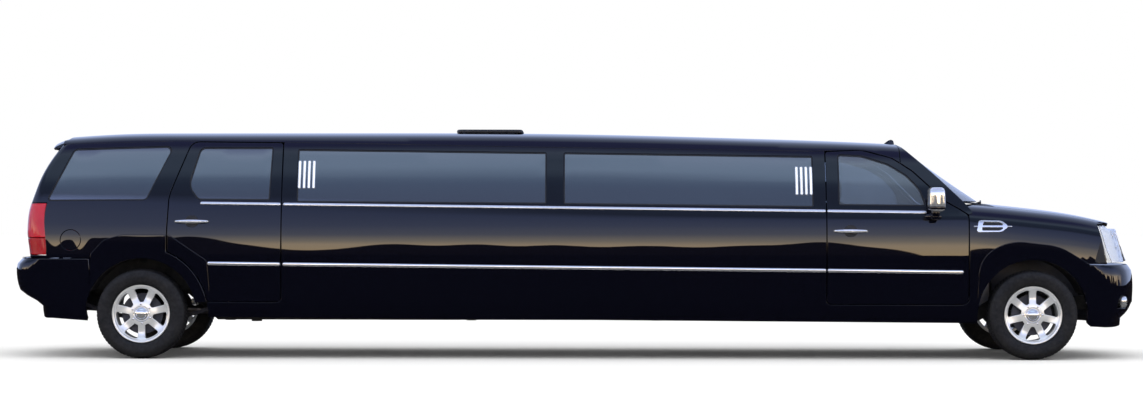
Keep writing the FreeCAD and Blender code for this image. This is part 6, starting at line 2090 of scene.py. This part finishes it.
@dataclass
class Cabin:
    """Seats, dashboard, steering wheel and carpet."""

    front_y: float = 0.40
    wheel_centre: tuple = (2.88, 0.40, 1.13)

    def seats(self) -> None:
        """Padded pieces of the front seats, the rear bench and the long bench, with their bases."""
        pads = {}
        for side in Side:
            y = self.front_y * side.value
            pads[f"front_seat_{side.word}"] = cushion((2.583, y, 0.722), (0.245, 0, 0), (0, 0.262, 0),
                                                      (0, 0, 0.078), 4, 3)
            pads[f"front_back_{side.word}"] = cushion((2.255, y, 1.02), (0, 0.248, 0), (0, 0, 0.316),
                                                      (0.073, 0, 0), 2, 5)
            pads[f"head_rest_{side.word}"] = cushion((2.24, y, 1.432), (0, 0.138, 0), (0, 0, 0.086),
                                                     (0.048, 0, 0))
        pads["rear_bench_seat"] = cushion((-2.657, 0, 0.836), (0.235, 0, 0), (0, 0.738, 0), (0, 0, 0.063), 3,
                                          11)
        pads["rear_bench_back"] = cushion((-2.98, 0, 1.055), (0, 0.738, 0), (0, 0, 0.272), (0.077, 0, 0), 10,
                                          3)
        pads["long_bench_seat"] = cushion((-0.24, 0.508, 0.836), (1.757, 0, 0), (0, 0.176, 0), (0, 0, 0.063),
                                          23, 2)
        pads["long_bench_back"] = cushion((-0.24, 0.77, 1.045), (1.757, 0, 0), (0, 0, 0.243), (0, -0.077, 0),
                                          23, 3)
        for name, shell in pads.items():
            piece = put(name, shell, "body", "leather", (Look.LEATHER, Look.SEAL))
        bases = [plinth(2335, 2755, 400 * s - 195, 400 * s + 195, 480, 652) for s in (-1, 1)]
        bases += [plinth(-2955, -2445, -695, 695, 480, 764), plinth(-1945, 1475, 365, 795, 480, 764)]
        put("seat_bases", joined(bases), "body", "leather", (Look.TRIM,), ("seats",))

    def dashboard(self) -> None:
        """Dashboard carried across the car, with vents and a hooded cluster, and the steering wheel."""
        profile = rounded([(3128, 1010, 40), (3108, 1150, 40), (3190, 1218, 40), (3432, 1208), (3432, 744),
                           (3264, 744, 40)])
        top = panel(Plane((0, -0.785, 0), (1, 0, 0), (0, 0, 1)), profile, (), 1.57, 0.012, 0.1, 4, 0)
        hood = pillow((3.15, self.front_y, 1.185), (0.075, 0.19, 0.035), 3.5, 24, 48)
        vents = [pillow((3.112, y, 1.10), (0.012, 0.055, 0.028), 5.0, 16, 40).painted(1)
                 for y in (-0.68, -0.1, 0.1, 0.7)]
        angle = np.linspace(0, 2 * math.pi, 72, endpoint=False)
        across = np.array([0.0, 1.0, 0.0])
        steep = np.array([math.cos(STEERING_LEAN), 0.0, -math.sin(STEERING_LEAN)])
        axis = np.array([math.sin(STEERING_LEAN), 0.0, math.cos(STEERING_LEAN)])
        middle = np.array(self.wheel_centre)
        circle = np.cos(angle)[:, None] * across + np.sin(angle)[:, None] * steep
        ring = tube(middle + 0.186 * circle, 0.0148, 16, True)
        steps = np.linspace(0, 1, 8)[:, None]
        hub = axis * 0.02
        spokes = [tube(middle + hub + steps * (0.178 * (math.cos(a) * across + math.sin(a) * steep) - hub),
                       0.012, 12, False, 0.6) for a in (0.0, math.pi, math.pi / 2)]
        boss = pillow(middle + hub, (0.03, 0.075, 0.065), 3.0, 20, 40)
        column = tube(middle + axis * (0.03 + steps * 0.26), 0.028, 24)
        put("dashboard_and_wheel",
            joined([top, hood, *vents, joined([ring, *spokes, boss]).painted(1), column]), "body", "plastic",
            (Look.TRIM, Look.PLASTIC), ("dashboard",))

    def carpet(self) -> None:
        """Carpet on the floor between the seats."""
        mat = panel(level(0.4795), box(-2960, 3150, -800, 800, 30, 60), (), 0.005, 0.002, 0.2, 2, 0)
        put("cabin_carpet_sheet", mat, "body", "leather", (Look.PILE,))

    def build(self) -> None:
        """Furnishes the cabin."""
        self.seats()
        self.dashboard()
        self.carpet()


@dataclass
class Underside:
    """Finishes of the solids that keep their own shape."""

    dress: tuple = (("chassis_frame", Look.UNDER), ("floor_pan", Look.UNDER), ("engine", Look.CAST),
                    ("driveline", Look.STEEL), ("rear_axle", Look.CAST), ("front_suspension", Look.CAST),
                    ("fuel_tank", Look.PLASTIC), ("exhaust", Look.STEEL), ("wipers", Look.PLASTIC),
                    ("knuckle_left", Look.CAST), ("knuckle_right", Look.CAST))

    def build(self) -> None:
        """Puts each finish in the node's material slots."""
        for name, look in self.dress:
            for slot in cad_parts[name].material_slots:
                slot.material = look.material


@dataclass
class Studio:
    """Camera, floor, soft light and the dusk surround that shows in the lacquer."""

    camera_x: float = -0.038
    camera_y: float = -23.135
    camera_z: float = 1.225
    focal: float = 82.9
    shift: float = 14 / 1143
    roll: float = -0.10
    ground: tuple = (0.012, 0.010, 0.012)
    soft_light: float = 1.12
    lamp_watts: float = 260.0
    sky_strength: float = 4.0
    far_sky: tuple = (0.14, 0.17, 0.26)
    hills: float = 0.34
    ridge: float = 0.036
    sky: tuple = ((-5.7, (0.004, 0.003, 0.004)), (-2.9, (0.008, 0.006, 0.007)), (-2.5, (1.50, 1.10, 0.60)),
                  (2.4, (1.35, 1.05, 0.72)), (4.4, (0.80, 0.70, 0.58)), (8, (0.34, 0.36, 0.46)),
                  (14, (0.20, 0.24, 0.40)), (22, (0.14, 0.18, 0.34)), (27, (0.060, 0.080, 0.14)),
                  (34, (0.064, 0.092, 0.158)), (38, (0.082, 0.118, 0.19)), (42, (0.148, 0.205, 0.30)),
                  (49, (0.18, 0.235, 0.34)), (64, (0.06, 0.07, 0.18)))

    def camera(self) -> None:
        """Camera at the photograph's place, level, looking along Y."""
        data = bpy.data.cameras.new("camera")
        data.lens = self.focal
        data.sensor_width = 36.0
        data.shift_y = self.shift
        data.clip_end = 200.0
        eye = bpy.data.objects.new("camera", data)
        eye.location = (self.camera_x, self.camera_y, self.camera_z)
        eye.rotation_euler = (math.radians(90), math.radians(self.roll), 0)
        bpy.context.scene.collection.objects.link(eye)
        bpy.context.scene.camera = eye

    def floor(self) -> None:
        """Pale floor that keeps the car's shadow; in reflections it is dark, as a road at dusk would be."""
        sheet = grid_shell(np.array([[[-90, -36, 0], [90, -36, 0]], [[-90, 120, 0], [90, 120, 0]]], float),
                           flip=True)
        mesh = bpy.data.meshes.new("floor")
        mesh.from_pydata(sheet.points.tolist(), [], sheet.triangles.tolist())
        material = bpy.data.materials.new("pale_floor")
        material.use_nodes = True
        graph = Graph(material.node_tree)
        pale = graph.add("BsdfPrincipled", None, Base_Color=(0.93, 0.93, 0.93, 1), Roughness=0.95,
                         Specular_IOR_Level=0.0).outputs[0]
        dark = graph.add("Emission", None, Color=(*self.ground, 1)).outputs[0]
        glossy = graph.add("LightPath").outputs["Is Glossy Ray"]
        graph.add("OutputMaterial", None, Surface=graph.numbered("MixShader", None, glossy, pale, dark))
        mesh.materials.append(material)
        piece = bpy.data.objects.new("floor", mesh)
        bpy.context.scene.collection.objects.link(piece)

    def lights(self) -> None:
        """One large soft lamp above the car, left out of reflections."""
        data = bpy.data.lights.new("top", "AREA")
        data.shape = "RECTANGLE"
        data.size, data.size_y = 16, 8
        data.energy = self.lamp_watts
        lamp = bpy.data.objects.new("top", data)
        lamp.location = (0, -3, 9)
        lamp.rotation_euler = (math.radians(18), 0, 0)
        lamp.visible_glossy = False
        bpy.context.scene.collection.objects.link(lamp)

    def world(self) -> None:
        """White behind the car, soft light on it, and a sky graded by height for reflections only."""
        world = bpy.data.worlds.new("soft_white")
        world.use_nodes = True
        bpy.context.scene.world = world
        graph = Graph(world.node_tree)
        path = graph.add("LightPath").outputs
        seen = graph.numbered("Math", {"operation": "MAXIMUM"}, path["Is Camera Ray"],
                              path["Is Transmission Ray"])
        plain = graph.add("Background", None, Color=(1, 1, 1, 1),
                          Strength=graph.spread(seen, 0.0, 1.0, self.soft_light)).outputs[0]
        spot = graph.add("TexCoord").outputs["Generated"]
        parts = graph.add("SeparateXYZ", None, Vector=spot).outputs
        level_spot = graph.add("Mapping", None, Vector=spot, Scale=(1, 1, 0)).outputs["Vector"]
        wave = graph.add("TexNoise", None, Vector=level_spot, Scale=17.0, Detail=0.6).outputs["Fac"]
        above = graph.numbered("Math", {"operation": "MULTIPLY_ADD"}, wave, -self.hills, parts["Z"])
        foot = self.ridge - self.hills / 2
        stops = [(math.sin(math.radians(degrees)) + 0.1, colour) for degrees, colour in self.sky]
        graded = graph.shades(graph.spread(parts["Z"], -0.1, 0.9), *stops)
        over = graph.blended(graph.spread(above, foot, foot + 0.004), (*self.ground, 1), graded)
        blend = graph.blended(graph.spread(parts["Y"], 0.0, 0.3), over, (*self.far_sky, 1))
        dusk = graph.add("Background", None, Color=blend, Strength=self.sky_strength).outputs[0]
        mixed = graph.numbered("MixShader", None, path["Is Glossy Ray"], plain, dusk)
        graph.add("OutputWorld", None, Surface=mixed)

    def build(self) -> None:
        """Sets the whole stage."""
        self.camera()
        self.floor()
        self.lights()
        self.world()
        bpy.context.scene.view_settings.view_transform = "Standard"


def main() -> None:
    """Builds the car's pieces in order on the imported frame."""
    logging.basicConfig(level=logging.INFO, format="%(name)s: %(message)s")
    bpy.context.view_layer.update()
    skins = Skins()
    glazing = Glazing(skins)
    wheels = [Wheel("front", FRONT_AXLE_X, side, 0.0) for side in Side]
    wheels += [Wheel("rear", REAR_AXLE_X, side, 180 / 7) for side in Side]
    for piece in (Flanks(skins, glazing), Quarters(skins), Doors(skins, glazing), Roof(skins), Front(skins),
                  FrontEnd(skins), TailEnd(skins), Bumpers(skins), SideTrim(skins), *wheels, Cabin(),
                  Underside(), Studio()):
        piece.build()
        LOG.info("%s done", type(piece).__name__)


if __name__ == "__main__":
    main()
